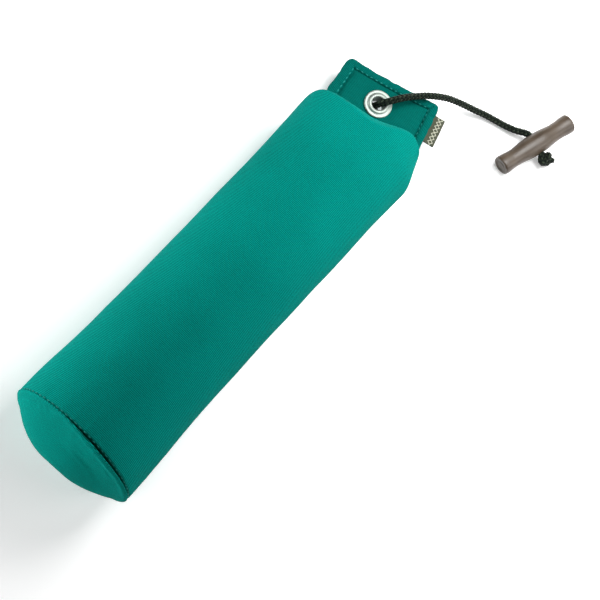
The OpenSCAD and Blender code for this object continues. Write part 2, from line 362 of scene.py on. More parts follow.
def makeCordYarn():
    # yarn: fine filaments along each strand, with painted shade darker towards the braid's inside and
    # a painted highlight on each strand's outer crest
    material, g = newMaterial("braidedYarn")
    place = objectPlace(g)
    turn = g.attribute("round") * (2 * math.pi)
    run = g.attribute("along")
    # painted light: each strand is lighter on its outer crest and darker towards the braid's inside
    crest = g.maths("COSINE", turn) * 0.5 + 0.5
    filaments = g.sin(turn * 6.0 + run * (2 * math.pi * 700)) * 0.5 + 0.5
    mottle = g.noise(place, 520, 2)
    fleck = g.spread(g.noise(place, 1500, 2, 0.7), 0.58, 0.74)
    tone = g.spread(crest * (0.55 + filaments * 0.3 + mottle * 0.45), 0.5, 1.12)
    shade = g.attribute("shade")
    dull = g.mix(tone, rgba(0.0005, 0.0012, 0.001), rgba(0.003, 0.01, 0.007))
    pale = g.mix(tone, rgba(0.002, 0.005, 0.0035), rgba(0.055, 0.075, 0.045))
    base = g.mix(shade, dull, pale)
    colour = g.mix(fleck * shade * 0.4, base, rgba(0.12, 0.15, 0.1))
    finishMaterial(
        g,
        {"Specular IOR Level": 0.12},
        {"Base Color": colour, "Roughness": g.spread(filaments, 0, 1, 0.62, 0.42)},
        filaments + mottle * 0.5,
        (0.5, 0.12 * mm),
    )
    return material


def makeNickel(centre):
    # satin nickel, brushed round the eyelet's axis
    material, g = newMaterial("satinNickel")
    place = objectPlace(g)
    local = g.stretched(place, (1, 1, 1), centre=tuple(centre))
    x, y, z = g.split(local)
    reach = g.vectors("LENGTH", g.xyz(x, y, 0.0), out=1)
    angle = g.maths("ARCTAN2", y, x)
    polar = g.xyz(reach * 5200, angle * 3.0, z * 900)
    brush = g.noise(polar, 1.0, 3, 0.6)
    smudge = g.noise(place, 190, 3, 0.6)
    tone = g.spread(brush * 0.55 + smudge * 0.6, 0.3, 0.9)
    colour = g.mix(tone, rgba(0.25, 0.29, 0.26), rgba(0.46, 0.5, 0.46))
    rough = g.spread(brush + smudge * 0.5, 0.45, 1.0, 0.5, 0.66)
    finishMaterial(g, {"Metallic": 1.0}, {"Base Color": colour, "Roughness": rough},
                   brush, (0.12, 0.1 * mm))
    return material


def makeHorn():
    # buffalo-horn look: long streaks along the toggle, greyer bands, a soft polish
    material, g = newMaterial("pressedHorn")
    place = objectPlace(g)
    turn = math.atan2(toggleOut.x, -toggleOut.y)
    centre = tuple(toggleAt)
    long = g.stretched(place, (26, 420, 420), (0, 0, turn), centre)
    streak = g.noise(long, 1.0, 5, 0.62)
    fineStreak = g.noise(g.stretched(place, (90, 1500, 1500), (0, 0, turn), centre), 1.0, 3)
    cloud = g.noise(place, 70, 3)
    tone = g.spread(streak * 0.35 + fineStreak * 0.25 + cloud * 0.6, 0.3, 0.92)
    ramp = g.node("ShaderNodeValToRGB", {"stops": (
        (0.0, rgba(0.03, 0.018, 0.01)),
        (0.4, rgba(0.054, 0.036, 0.022)),
        (0.75, rgba(0.078, 0.055, 0.035)),
        (1.0, rgba(0.112, 0.085, 0.058)),
    )}, (tone,))
    pores = g.spread(g.noise(g.stretched(place, (300, 2600, 2600), (0, 0, turn), centre), 1.0, 2),
                     0.66, 0.76)
    colour = g.mix(pores * 0.5, ramp, rgba(0.05, 0.035, 0.026))
    rough = g.spread(cloud + fineStreak * 0.4, 0.4, 1.0, 0.36, 0.56)
    finishMaterial(g, {"Specular IOR Level": 0.5, "Coat Roughness": 0.3},
                   {"Base Color": colour, "Roughness": rough, "Coat Weight": 0.12},
                   streak + fineStreak * 0.5 - pores, (0.18, 0.3 * mm))
    return material


def makeRibbon():
    # woven label: olive ground and a plain, pale lozenge band
    material, g = newMaterial("wovenRibbon")
    place = objectPlace(g)
    u, v, _ = g.split(surfacePlace(g))  # u along the label, v across it, in metres
    along = u / (2.6 * mm)
    lozenge = g.absolute(g.maths("FRACT", along) - 0.5) * 2.0
    off = g.absolute(g.absolute(v) - labelBand) / (1.5 * mm)
    motif = g.spread(g.absolute(off + lozenge - 1.0), 0.30, 0.12)
    pick = g.sin(u * (2 * math.pi / (0.42 * mm)))
    end = g.sin(v * (2 * math.pi / (0.36 * mm)))
    cloth = pick * end * 0.5 + 0.5
    ground = g.mix(cloth, rgba(0.026, 0.03, 0.017), rgba(0.078, 0.084, 0.05))
    pale = g.mix(cloth, rgba(0.3, 0.3, 0.22), rgba(0.62, 0.62, 0.5))
    colour = g.mix(motif, ground, pale)
    finishMaterial(g, {"Specular IOR Level": 0.25, "Sheen Weight": 0.1},
                   {"Base Color": colour, "Roughness": g.spread(cloth, 0, 1, 0.8, 0.6)},
                   cloth + g.noise(place, 900, 2) * 0.4, (0.4, 0.2 * mm))
    return material


def makePlain(name, light, dark, scale):
    # inner cloth and filling that the cover hides
    material, g = newMaterial(name)
    place = objectPlace(g)
    tuft = g.noise(place, scale, 4, 0.65)
    finishMaterial(g, {"Specular IOR Level": 0.2},
                   {"Base Color": g.mix(g.spread(tuft, 0.3, 0.7), dark, light),
                    "Roughness": g.spread(tuft, 0.2, 0.8, 0.85, 0.95)},
                   tuft, (0.5, 0.6 * mm))
    return material


def makeFloorPaint():
    material, g = newMaterial("paleFloor")
    mottle = g.noise(objectPlace(g), 3, 2)
    colour = g.mix(mottle, rgba(0.9, 0.9, 0.9), rgba(0.93, 0.93, 0.93))
    # the paper glows a little, and more the further out it is, so that it stays pale
    out = g.vectors("LENGTH", objectPlace(g), out=1)
    near = lightSet["floorGlow"]
    glow = g.mix(g.spread(out, 0.3, 1.1), rgba(near, near, near), rgba(1, 1, 1))
    finishMaterial(g, {"Roughness": 0.9, "Specular IOR Level": 0.1, "Emission Strength": 2.1},
                   {"Base Color": colour, "Emission Color": glow})
    return material


labelBand = 3.5 * mm  # middle of the label's motif, from its fold
canvas = makeCanvas("tealCanvas", coverCanvasSet)
tabCanvas = makeCanvas("tabCanvas", tabCanvasSet)
thread = makeThread("tealThread", rgba(0.004, 0.3, 0.26), rgba(0.002, 0.13, 0.11))
cordYarn = makeCordYarn()
nickel = makeNickel(eyeAt)
horn = makeHorn()
ribbon = makeRibbon()
linerCloth = makePlain("linerCloth", rgba(0.72, 0.69, 0.6), rgba(0.5, 0.47, 0.4), 300)
waddingFibre = makePlain("waddingFibre", rgba(0.88, 0.87, 0.83), rgba(0.62, 0.6, 0.56), 120)
granuleMix = makePlain("granuleSleeve", rgba(0.3, 0.27, 0.23), rgba(0.1, 0.09, 0.08), 500)
print("materials made")

# mesh helpers


def newPiece(name, points, faces, material, cut=None):
    # cut holds each point's place on the cut cloth, in metres
    mesh = bpy.data.meshes.new(name)
    mesh.from_pydata([tuple(p) for p in points], [], [tuple(f) for f in faces])
    if cut is not None:
        layer = mesh.uv_layers.new(name="cut")
        spots = np.asarray(cut, float)[[loop.vertex_index for loop in mesh.loops]]
        layer.data.foreach_set("uv", spots.astype(np.float32).ravel())
    mesh.materials.append(material)
    mesh.shade_smooth()
    piece = bpy.data.objects.new(name, mesh)
    scene.collection.objects.link(piece)
    return piece


def addModifier(piece, kind, **settings):
    modifier = piece.modifiers.new(kind.lower(), kind)
    for key, value in settings.items():
        setattr(modifier, key, value)
    return modifier


def settleCloth(piece, thickness):
    # gives a cloth its thickness, smooths it and settles it
    addModifier(piece, "SOLIDIFY", thickness=thickness, offset=-1)
    addModifier(piece, "SUBSURF", levels=1, render_levels=1)
    return settle(piece)


def settle(piece):
    # turns the evaluated piece into a plain mesh and drops its modifiers
    depsgraph = bpy.context.evaluated_depsgraph_get()
    mesh = bpy.data.meshes.new_from_object(
        piece.evaluated_get(depsgraph), preserve_all_data_layers=True, depsgraph=depsgraph)
    piece.modifiers.clear()
    piece.data = mesh
    mesh.name = piece.name
    return piece


def faceOutward(piece, doubles=1e-6):
    work = bmesh.new()
    work.from_mesh(piece.data)
    bmesh.ops.remove_doubles(work, verts=work.verts, dist=doubles)
    bmesh.ops.recalc_face_normals(work, faces=work.faces)
    work.to_mesh(piece.data)
    work.free()
    return piece


def handOver(piece, body, slotName, *nodes):
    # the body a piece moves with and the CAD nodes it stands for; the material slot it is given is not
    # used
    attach(piece, body)
    if nodes:
        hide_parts(*nodes)
    return piece


def coordinates(piece):
    found = np.zeros(len(piece.data.vertices) * 3)
    piece.data.vertices.foreach_get("co", found)
    return found.reshape(-1, 3)


def normalsOf(piece):
    found = np.zeros(len(piece.data.vertices) * 3)
    piece.data.vertex_normals.foreach_get("vector", found)
    return found.reshape(-1, 3)


def setCoordinates(piece, points):
    piece.data.vertices.foreach_set("co", np.asarray(points, np.float32).ravel())
    piece.data.update()


def smoothStep(low, high, value):
    share = np.clip((value - low) / (high - low), 0, 1)
    return share * share * (3 - 2 * share)


def smoothPath(points, step):
    # even points along a Catmull-Rom curve through the given ones
    ends = [points[0] * 2 - points[1]] + list(points) + [points[-1] * 2 - points[-2]]
    fine = []
    for i in range(1, len(ends) - 2):
        a, b, c, d = ends[i - 1 : i + 3]
        for k in range(24):
            t = k / 24
            fine.append(0.5 * (b * 2 + (c - a) * t + (a * 2 - b * 5 + c * 4 - d) * t**2
                               + (b * 3 - a - c * 3 + d) * t**3))
    fine.append(points[-1])
    lengths = np.cumsum([0] + [(q - p).length for p, q in zip(fine, fine[1:])])
    count = max(2, round(lengths[-1] / step))
    spots = np.linspace(0, lengths[-1], count + 1)
    table = np.array([tuple(p) for p in fine])
    return [Vector([np.interp(s, lengths, table[:, k]) for k in range(3)]) for s in spots]


def pathLength(path):
    return sum((b - a).length for a, b in zip(path, path[1:]))


def lathe(name, profile, material, turn, place, sides=72):
    # turns (radius, height) points round Z, then places the result
    points, faces = [], []
    for k in range(sides):
        a = 2 * math.pi * k / sides
        points += [(r * math.cos(a), r * math.sin(a), h) for r, h in profile]
    n = len(profile)
    for k in range(sides):
        j = (k + 1) % sides
        for i in range(n - 1):
            faces.append((k * n + i, j * n + i, j * n + i + 1, k * n + i + 1))
    place = Matrix.Translation(place) @ turn.to_4x4()
    piece = newPiece(name, [place @ Vector(p) for p in points], faces, material)
    return faceOutward(piece)


def arc(centre, radius, start, end, steps):
    # points of a circular arc in a lathe profile, angles in degrees
    angles = np.radians(np.linspace(start, end, steps + 1))
    return [(centre[0] + radius * math.cos(a), centre[1] + radius * math.sin(a)) for a in angles]


# geometry node helpers

socketKinds = {float: "NodeSocketFloat", int: "NodeSocketInt", str: "NodeSocketMaterial"}


def newTree(name, inputs):
    # a geometry tree whose named inputs take their kind from their default
    tree = bpy.data.node_groups.new(name, "GeometryNodeTree")
    face = tree.interface
    face.new_socket("Geometry", in_out="OUTPUT", socket_type="NodeSocketGeometry")
    face.new_socket("Geometry", in_out="INPUT", socket_type="NodeSocketGeometry")
    for key, value in inputs.items():
        made = face.new_socket(key, in_out="INPUT", socket_type=socketKinds[type(value)])
        if not isinstance(value, str):
            made.default_value = value
    graph = Graph(tree)
    entry = tree.nodes.new("NodeGroupInput")
    return graph, {socket.name: Value(graph, socket) for socket in entry.outputs if socket.name}


def closeTree(graph, geometry, material):
    real = graph.node("GeometryNodeRealizeInstances", {}, (geometry,))
    painted = graph.node("GeometryNodeSetMaterial", {}, {"Geometry": real, "Material": material})
    graph.node("NodeGroupOutput", {}, (painted,))
    return graph.tree


def runTree(source, tree, values, name):
    # runs a tree on a source object and keeps the result as a plain mesh piece
    modifier = source.modifiers.new(tree.name, "NODES")
    modifier.node_group = tree
    for item in tree.interface.items_tree:
        if item.in_out == "INPUT" and item.name in values:
            modifier[item.identifier] = values[item.name]
    depsgraph = bpy.context.evaluated_depsgraph_get()
    mesh = bpy.data.meshes.new_from_object(
        source.evaluated_get(depsgraph), preserve_all_data_layers=True, depsgraph=depsgraph)
    mesh.name = name
    piece = bpy.data.objects.new(name, mesh)
    scene.collection.objects.link(piece)
    bpy.data.objects.remove(source)
    return piece


def pathMesh(points, facing=None):
    # a line of edges for a tree to follow, with the way each point faces
    mesh = bpy.data.meshes.new("path")
    mesh.from_pydata([tuple(p) for p in points], [(i, i + 1) for i in range(len(points) - 1)], [])
    way = mesh.attributes.new("facing", "FLOAT_VECTOR", "POINT")
    facing = facing if facing is not None else [up] * len(points)
    way.data.foreach_set("vector", np.array([tuple(f) for f in facing], np.float32).ravel())
    path = bpy.data.objects.new("path", mesh)
    scene.collection.objects.link(path)
    return path


def storeNumber(g, geometry, name, value):
    # keeps a number on the points for the material to read
    sockets = {"Geometry": geometry, "Name": name, "Value": value}
    return g.node("GeometryNodeStoreNamedAttribute", {"data_type": "FLOAT"}, sockets)


def ellipseProfile(g, sides, deep, wide):
    # a closed outline, deep along the curve's normal and wide across it
    ring = g.node("GeometryNodeCurvePrimitiveCircle", {}, {"Resolution": sides, "Radius": 1.0})
    size = g.xyz(deep, wide, 1.0)
    ring = g.node("GeometryNodeTransform", {}, {"Geometry": ring, "Scale": size})
    return storeNumber(g, ring, "round", g.node("GeometryNodeSplineParameter"))


def buildBraidTree():
    # two opposed sets of strands wound round a path, each over one and under one
    g, given = newTree("braid", {
        "Strands": 5, "Pitch": 12.5 * mm, "Radius": 1.38 * mm, "Wave": 0.36 * mm,
        "Wide": 0.8 * mm, "Deep": 0.46 * mm, "Core": 1.05 * mm, "Step": 0.3 * mm,
        "Material": "",
    })
    line = g.node("GeometryNodeMeshToCurve", {}, {"Mesh": given["Geometry"]})
    line = g.node("GeometryNodeResampleCurve", {"mode": "LENGTH"},
                  {"Curve": line, "Length": given["Step"]})
    run = g.other(g.node("GeometryNodeSplineParameter"), 1)
    line = storeNumber(g, line, "along", run)
    run = g.named("along", "FLOAT")
    tangent = g.node("GeometryNodeInputTangent")
    side = g.node("GeometryNodeInputNormal")
    other = g.vectors("CROSS_PRODUCT", tangent, side)
    joined = g.node("GeometryNodeJoinGeometry")
    weave = g.maths("COSINE", run * (2 * math.pi) * given["Strands"] / given["Pitch"])
    for hand in (1.0, -1.0):
        copies = g.node("GeometryNodeDuplicateElements", {"domain": "SPLINE"},
                        {"Geometry": line, "Amount": given["Strands"]})
        turn = (g.other(copies, 1) / given["Strands"] + run * hand / given["Pitch"])
        turn = turn * (2 * math.pi)
        cosine = g.maths("COSINE", turn)
        a = g.vectors("SCALE", side, scale=cosine)
        b = g.vectors("SCALE", other, scale=g.sin(turn))
        radial = g.vectors("ADD", a, b)
        reach = given["Radius"] + weave * given["Wave"] * hand
        shift = g.vectors("SCALE", radial, scale=reach)
        held = g.node("GeometryNodeStoreNamedAttribute", {"data_type": "FLOAT_VECTOR"},
                      {"Geometry": copies, "Name": "radial", "Value": radial})
        pale = g.maths("MODULO", g.other(copies, 1), 2.0)
        held = storeNumber(g, held, "shade", 0.1 if hand > 0 else pale * -0.35 + 1.0)
        strand = g.node("GeometryNodeSetPosition", {}, {"Geometry": held, "Offset": shift})
        way = g.named("radial")
        strand = g.node("GeometryNodeSetCurveNormal", {"mode": "FREE"},
                        {"Curve": strand, "Normal": way})
        outline = ellipseProfile(g, 8, given["Deep"], given["Wide"])
        made = g.node("GeometryNodeCurveToMesh", {},
                      {"Curve": strand, "Profile Curve": outline, "Fill Caps": True})
        g.tree.links.new(made.socket, joined.socket.node.inputs[0])
    outline = ellipseProfile(g, 14, given["Core"], given["Core"])
    core = g.node("GeometryNodeCurveToMesh", {},
                  {"Curve": line, "Profile Curve": outline, "Fill Caps": True})
    g.tree.links.new(core.socket, joined.socket.node.inputs[0])
    return closeTree(g, joined, given["Material"])


def buildStitchTree():
    # rounded stitches of thread along a path, each arched over the cloth
    g, given = newTree("stitches", {
        "Pitch": 3.2 * mm, "Length": 2.2 * mm, "Thread": 0.3 * mm, "Rise": 0.35 * mm,
        "Sway": 0.0, "Material": "",
    })
    line = g.node("GeometryNodeMeshToCurve", {}, {"Mesh": given["Geometry"]})
    points = g.node("GeometryNodeCurveToPoints", {"mode": "LENGTH"},
                    {"Curve": line, "Length": given["Pitch"]})
    way = g.named("facing")
    turn = g.node("FunctionNodeAxesToRotation", {"primary_axis": "Z", "secondary_axis": "X"},
                  {"Primary Axis": way, "Secondary Axis": g.other(points, 1)})
    index = g.node("GeometryNodeInputIndex")
    swing = (g.sin(index * 2.4) + g.sin(index * 5.1) * 0.6) * given["Sway"]
    swing = g.node("FunctionNodeEulerToRotation", {},
                   (g.xyz(0.0, 0.0, swing),))
    turn = g.node("FunctionNodeRotateRotation", {"rotation_space": "LOCAL"}, (turn, swing))
    start = g.xyz(given["Length"] * -0.5, 0.0, 0.0)
    end = g.xyz(given["Length"] * 0.5, 0.0, 0.0)
    bar = g.node("GeometryNodeCurvePrimitiveLine", {}, {"Start": start, "End": end})
    bar = g.node("GeometryNodeResampleCurve", {"mode": "COUNT"}, {"Curve": bar, "Count": 7})
    share = g.node("GeometryNodeSplineParameter") * 2.0 - 1.0
    square = share * share
    lift = g.xyz(0.0, 0.0, (0.55 - square) * given["Rise"])
    bar = g.node("GeometryNodeSetPosition", {}, {"Geometry": bar, "Offset": lift})
    outline = ellipseProfile(g, 6, given["Thread"], given["Thread"])
    plump = g.maths("SQRT", 1.02 - square * square)
    stitch = g.node("GeometryNodeCurveToMesh", {},
                    {"Curve": bar, "Profile Curve": outline, "Scale": plump, "Fill Caps": True})
    sewn = g.node("GeometryNodeInstanceOnPoints", {},
                  {"Points": points, "Instance": stitch, "Rotation": turn})
    return closeTree(g, sewn, given["Material"])


def buildTurningTree():
    # a turned bar: full middle, two waists, flared ends and recessed end faces
    g, given = newTree("turning", {
        "Half": 27 * mm, "Middle": 6.5 * mm, "Waist": 5.3 * mm, "Flare": 5.9 * mm,
        "Drop": 0.7 * mm, "Recess": 0.5 * mm, "Hub": 0.5, "Material": "",
    })
    grid = g.node("GeometryNodeMeshGrid", {},
                  {"Size X": 2.0, "Size Y": 1.0, "Vertices X": 241, "Vertices Y": 73})
    p, q, _ = g.split(g.node("GeometryNodeInputPosition"))
    body = 0.86  # share of the grid that makes the side, the rest makes the end faces
    size = g.absolute(p)
    side = g.maths("SIGN", p)
    s = g.maths("MINIMUM", size / body, 1.0)
    face = g.maths("MAXIMUM", (size - body) / (1 - body), 0.0)
    thick = (given["Waist"]
             + (given["Middle"] - given["Waist"]) * g.spread(s, 0.6, 0.12)
             + (given["Flare"] - given["Waist"]) * g.spread(s, 0.64, 0.93))
    edge = g.maths("MAXIMUM", (s - 0.95) / 0.05, 0.0)
    soft = 1.0 - g.maths("SQRT", 1.0001 - edge * edge)
    rim = thick - given["Drop"] * soft
    dish = g.spread(face, 0.16, 0.3) * (1.0 - g.spread(face, given["Hub"], given["Hub"] + 0.12) * 0.7)
    radius = rim * (1.0 - face)
    angle = q * (2 * math.pi)
    x = side * (given["Half"] * s - given["Recess"] * dish)
    y = radius * g.maths("COSINE", angle)
    z = radius * g.sin(angle)
    place = g.xyz(x, y, z)
    bar = g.node("GeometryNodeSetPosition", {}, {"Geometry": grid, "Position": place})
    bar = g.node("GeometryNodeMergeByDistance", {}, {"Geometry": bar, "Distance": 0.01 * mm})
    return closeTree(g, bar, given["Material"])


def emptySource():
    source = bpy.data.objects.new("source", bpy.data.meshes.new("source"))
    scene.collection.objects.link(source)
    return source


def makeFloor():
    size, z = lightSet["floorSize"], lightSet["floorLevel"]
    floor = newPiece("floor", [(-size, -size, z), (size, -size, z), (size, size, z), (-size, size, z)],
                     [(0, 1, 2, 3)], makeFloorPaint())


makeCamera()
makeLights()
makeFloor()
print("camera, lights and floor made")

# the throwing cord and its knots

cordSet = {
    "diameter": 4.0 * mm,
    "knotStep": 1.22 * mm,  # size of the knot's figure
    "knotCord": 0.86,  # how far the braid is squeezed in a knot
    "tail": 5.0 * mm,
    "radius": 1.38 * mm,  # the braid: the strands' mean reach from its middle
    "wave": 0.36 * mm,
    "wide": 0.8 * mm,
    "deep": 0.46 * mm,
    "core": 1.05 * mm,
    "knotPitch": 11 * mm,
}
routeMm = [
    (155.1, 8.3, 5.3), (155.2, 8.2, 9), (155.5, 7.8, 13), (156.2, 6.8, 17),
    (156.9, 5.8, 19.4), (158.2, 4.3, 22), (160.6, 2.4, 23.9), (164, 0.3, 24.6),
    (168.6, -2.7, 24.6), (174, -6.6, 23.8), (179.4, -10.8, 22.4), (184.6, -15.4, 20.2),
    (189.8, -20.6, 17.2), (194.4, -26.2, 13.4), (198.6, -32, 9.4), (202.2, -37.8, 6.2),
    (205.6, -44, 4), (208, -50.4, 3), (209.8, -57, 3.2), (211.8, -63.8, 4.6),
]
cordEnd = toggleAt + toggleOut * (11.5 * mm) - up * mm
route = [Vector(p) * mm for p in routeMm]
route += [toggleAt - toggleOut * (7.2 * mm), toggleAt, toggleAt + toggleOut * (7 * mm), cordEnd]


def knotPath(centre, axis):
    # a closed three-lobed figure, as tight as the cord allows
    steps = 60
    turn = axis.to_track_quat("Z", "Y").to_matrix()
    found = []
    for i in range(steps + 1):
        a = 2 * math.pi * i / steps + 0.4
        spot = Vector((math.sin(a) + 2 * math.sin(2 * a), math.cos(a) - 2 * math.cos(2 * a),
                       -1.25 * math.sin(3 * a)))
        found.append(centre + turn @ spot * cordSet["knotStep"])
    return found


def makeCord():
    tree = buildBraidTree()
    path = smoothPath(route, 0.5 * mm)
    cord = runTree(pathMesh(path), tree, {"Material": cordYarn}, "throwCord")
    squeeze = cordSet["knotCord"]
    tight = {key.title(): cordSet[key] * squeeze for key in ("radius", "wide", "deep", "core", "wave")}
    tight.update(Pitch=cordSet["knotPitch"], Material=cordYarn)
    stopAt = middleOf("stop_knot")
    stop = runTree(pathMesh(knotPath(stopAt, Vector((0.2, 0.1, 1)).normalized())), tree, tight,
                   "stopKnot")
    endAt = middleOf("end_knot") + up * 0.4 * mm - toggleOut * 0.6 * mm
    end = runTree(pathMesh(knotPath(endAt, (toggleOut + up * 0.5).normalized())), tree, tight,
                  "endKnot")
    side = toggleOut.cross(up)
    tailPath = smoothPath([
        endAt, endAt + toggleOut * 2 * mm - side * 2.4 * mm - up * 0.6 * mm,
        endAt + toggleOut * 3 * mm - side * (2.4 * mm + cordSet["tail"] * 0.55) - up * 1.6 * mm,
    ], 0.5 * mm)
    tail = runTree(pathMesh(tailPath), tree, tight, "knotTail")
    handOver(stop, "cord", "cord", "stop_knot")
    handOver(end, "cord", "cord", "end_knot")
    handOver(tail, "cord", "cord")
    handOver(cord, "cord", "cord", "throw_cord")
    return cord, path, [stop, end, tail]


cord, cordPath, knots = makeCord()
print("cord braided,", round(pathLength(cordPath), 4), "m")

# the toggle

toggleSet = {
    "length": 54 * mm,
    "radius": 6.5 * mm,
    "hole": 2.35 * mm,
}


def makeToggle():
    bar = runTree(emptySource(), buildTurningTree(),
                  {"Half": toggleSet["length"] / 2, "Middle": toggleSet["radius"],
                   "Material": horn}, "toggleBar")
    faceOutward(bar, 0.02 * mm)
    bar.data.shade_smooth()
    lengthwise = up.cross(toggleOut).normalized()
    turn = Matrix((lengthwise, toggleOut, up)).transposed()
    if turn.determinant() < 0:
        turn = Matrix((-lengthwise, toggleOut, up)).transposed()
    place = Matrix.Translation(toggleAt) @ turn.to_4x4()
    bar.data.transform(place)
    drill = lathe("drill", [(0, -12 * mm), (toggleSet["hole"], -12 * mm),
                            (toggleSet["hole"], 12 * mm), (0, 12 * mm)],
                  horn, toggleOut.to_track_quat("Z", "Y").to_matrix(), toggleAt, 40)
    addModifier(bar, "BOOLEAN", object=drill, operation="DIFFERENCE", solver="EXACT")
    settle(bar)
    bpy.data.objects.remove(drill)
    bar.data.shade_smooth()
    bar.data.set_sharp_from_angle(angle=math.radians(38))
    handOver(bar, "toggle", "horn", "toggle")
    return bar


toggle = makeToggle()
pathLength(cordPath)
print("toggle turned")

# the cover: tube, shoulders and gussets in one cloth

coverSet = {
    "round": 128,  # points round the tube
    "rows": 104,  # rows along the tube
    "shoulderRows": 30,
    "backX": -121.0 * mm,
    "backYaw": 1.7 * mm,  # how far forward the seam lies on its left
    "flareBack": 2.9 * mm,
    "flareFront": 1.3 * mm,
    "turnRadius": 1.7 * mm,
    "turnDepth": 5.0 * mm,
    "browLeft": 124 * mm,
    "browRight": 137 * mm,
    "browSag": 2.4 * mm,
    "floorGap": 0.25 * mm,
    "gusset": 9 * mm,
    "corner": 1.2 * mm,  # how far the brow's ends stand out
    "cornerRun": 5 * mm,
    "crease": 1.8 * mm,  # depth of the fold down each gusset
    "shoulderX": 10 * mm,  # how far past the tube's end its last ring is shaped
    "dent": 0.55 * mm,
    "pucker": 0.7 * mm,
    "taperFrom": 121 * mm,
    "taperRun": 25 * mm,
    "taper": 0.31,
}
tabSet = {
    "root": -14 * mm,
    "tip": 18.3 * mm,
    "left": 26.2 * mm,
    "right": -33 * mm,
    "rootRow": 1.6 * mm,  # how far the row across the root is from it
    "hemStep": 0.55 * mm,
    "hemWidth": 26,  # steps from one inner edge of the hem to the other
    "plyStep": 0.62 * mm,
    "hole": 4.7 * mm,  # hole in the plies, under the eyelet
    "flare": 5.2 * mm,  # how much wider the root is than the tip, on the left
    "hollow": 1.2 * mm,  # how far the sewn outer edge draws in at its middle
    "half": 2.6 * mm,  # half its thickness
    "corner": 2.6 * mm,
    "row": 4.5 * mm,  # stitch row's distance from the edge
    "pitch": 3.2 * mm,
    "rowHigh": 2.15 * mm,  # height of the stitches above the tab's middle
}


def tabSpot(u, v, w):
    # a place on the tab, which widens to its left towards the root
    toRoot = np.clip((tabSet["tip"] - u) / (tabSet["tip"] - tabSet["root"]), 0, 1.1)
    middle = (tabSet["left"] + tabSet["right"]) / 2
    hollow = 1 - ((v - middle) / (tabSet["left"] - middle)) ** 2
    u = u - tabSet["hollow"] * np.clip(hollow, 0, 1) * smoothStep(8 * mm, 18 * mm, u)
    v = v + np.maximum(v, 0) / tabSet["left"] * tabSet["flare"] * toRoot
    spot = [np.asarray(eyeAt[k] + outward[k] * u + across[k] * v + up[k] * w) for k in range(3)]
    return np.stack(np.broadcast_arrays(*spot), -1)


def ringSides(turns):
    # 0 below to 1 on top, -1 below to 1 on top by height, and 1 on the left or -1 on the right
    halfTurn = np.where(turns < 0.5, turns, 1 - turns) * 2
    return halfTurn, -np.cos(2 * math.pi * turns), np.where(turns < 0.5, 1.0, -1.0)


def aroundTube(points):
    # the angle round the tube, 0 at the floor
    return np.arctan2(points[:, 1], tubeAxis - points[:, 2])


def ringShape(x, turns, inset):
    # points round the tube at x: turns is 0 at the floor, 0.25 on the left, 0.5 on top
    wide = (tubeRadius + 0.1 * mm
            + coverSet["flareBack"] * math.exp(-(((x - tubeBack) / 0.045) ** 2))
            + coverSet["flareFront"] * math.exp(-(((x - tubeFront - 7 * mm) / 0.026) ** 2)))
    high = tubeRadius - 0.45 * (wide - tubeRadius)
    a = np.linspace(0, 2 * math.pi, 721)
    y = (wide - inset) * np.sin(a)
    z = tubeAxis - (high - inset) * np.cos(a)
    ground = coverSet["floorGap"] + inset
    blend = 3.5 * mm
    z = ground + 0.5 * (z - ground + np.sqrt((z - ground) ** 2 + blend**2)) - 0.5 * blend * 0.35
    z = np.maximum(z, ground)
    steps = np.hypot(np.diff(y), np.diff(z))
    run = np.concatenate([[0], np.cumsum(steps)])
    spots = turns * run[-1]
    return np.interp(spots, run, y), np.interp(spots, run, z)


def rightTaper(x, y):
    # the tube narrows on its right as it nears the tab
    share = np.clip((x - coverSet["taperFrom"]) / coverSet["taperRun"], 0, 1.4)
    return np.where(y < 0, y * (1 - coverSet["taper"] * share**1.25), y)


def browLine(y, z):
    # where the tube ends and the shoulder starts to fall
    lean = smoothStep(6 * mm, -26 * mm, y)
    top = coverSet["browLeft"] + (coverSet["browRight"] - coverSet["browLeft"]) * lean
    share = np.clip((34 * mm - y) / (60 * mm), 0, 1)
    top = top - coverSet["browSag"] * np.sin(math.pi * share)
    low = 114 * mm + 7 * mm * lean
    return low + (top - low) * smoothStep(2 * mm, 34 * mm, z)


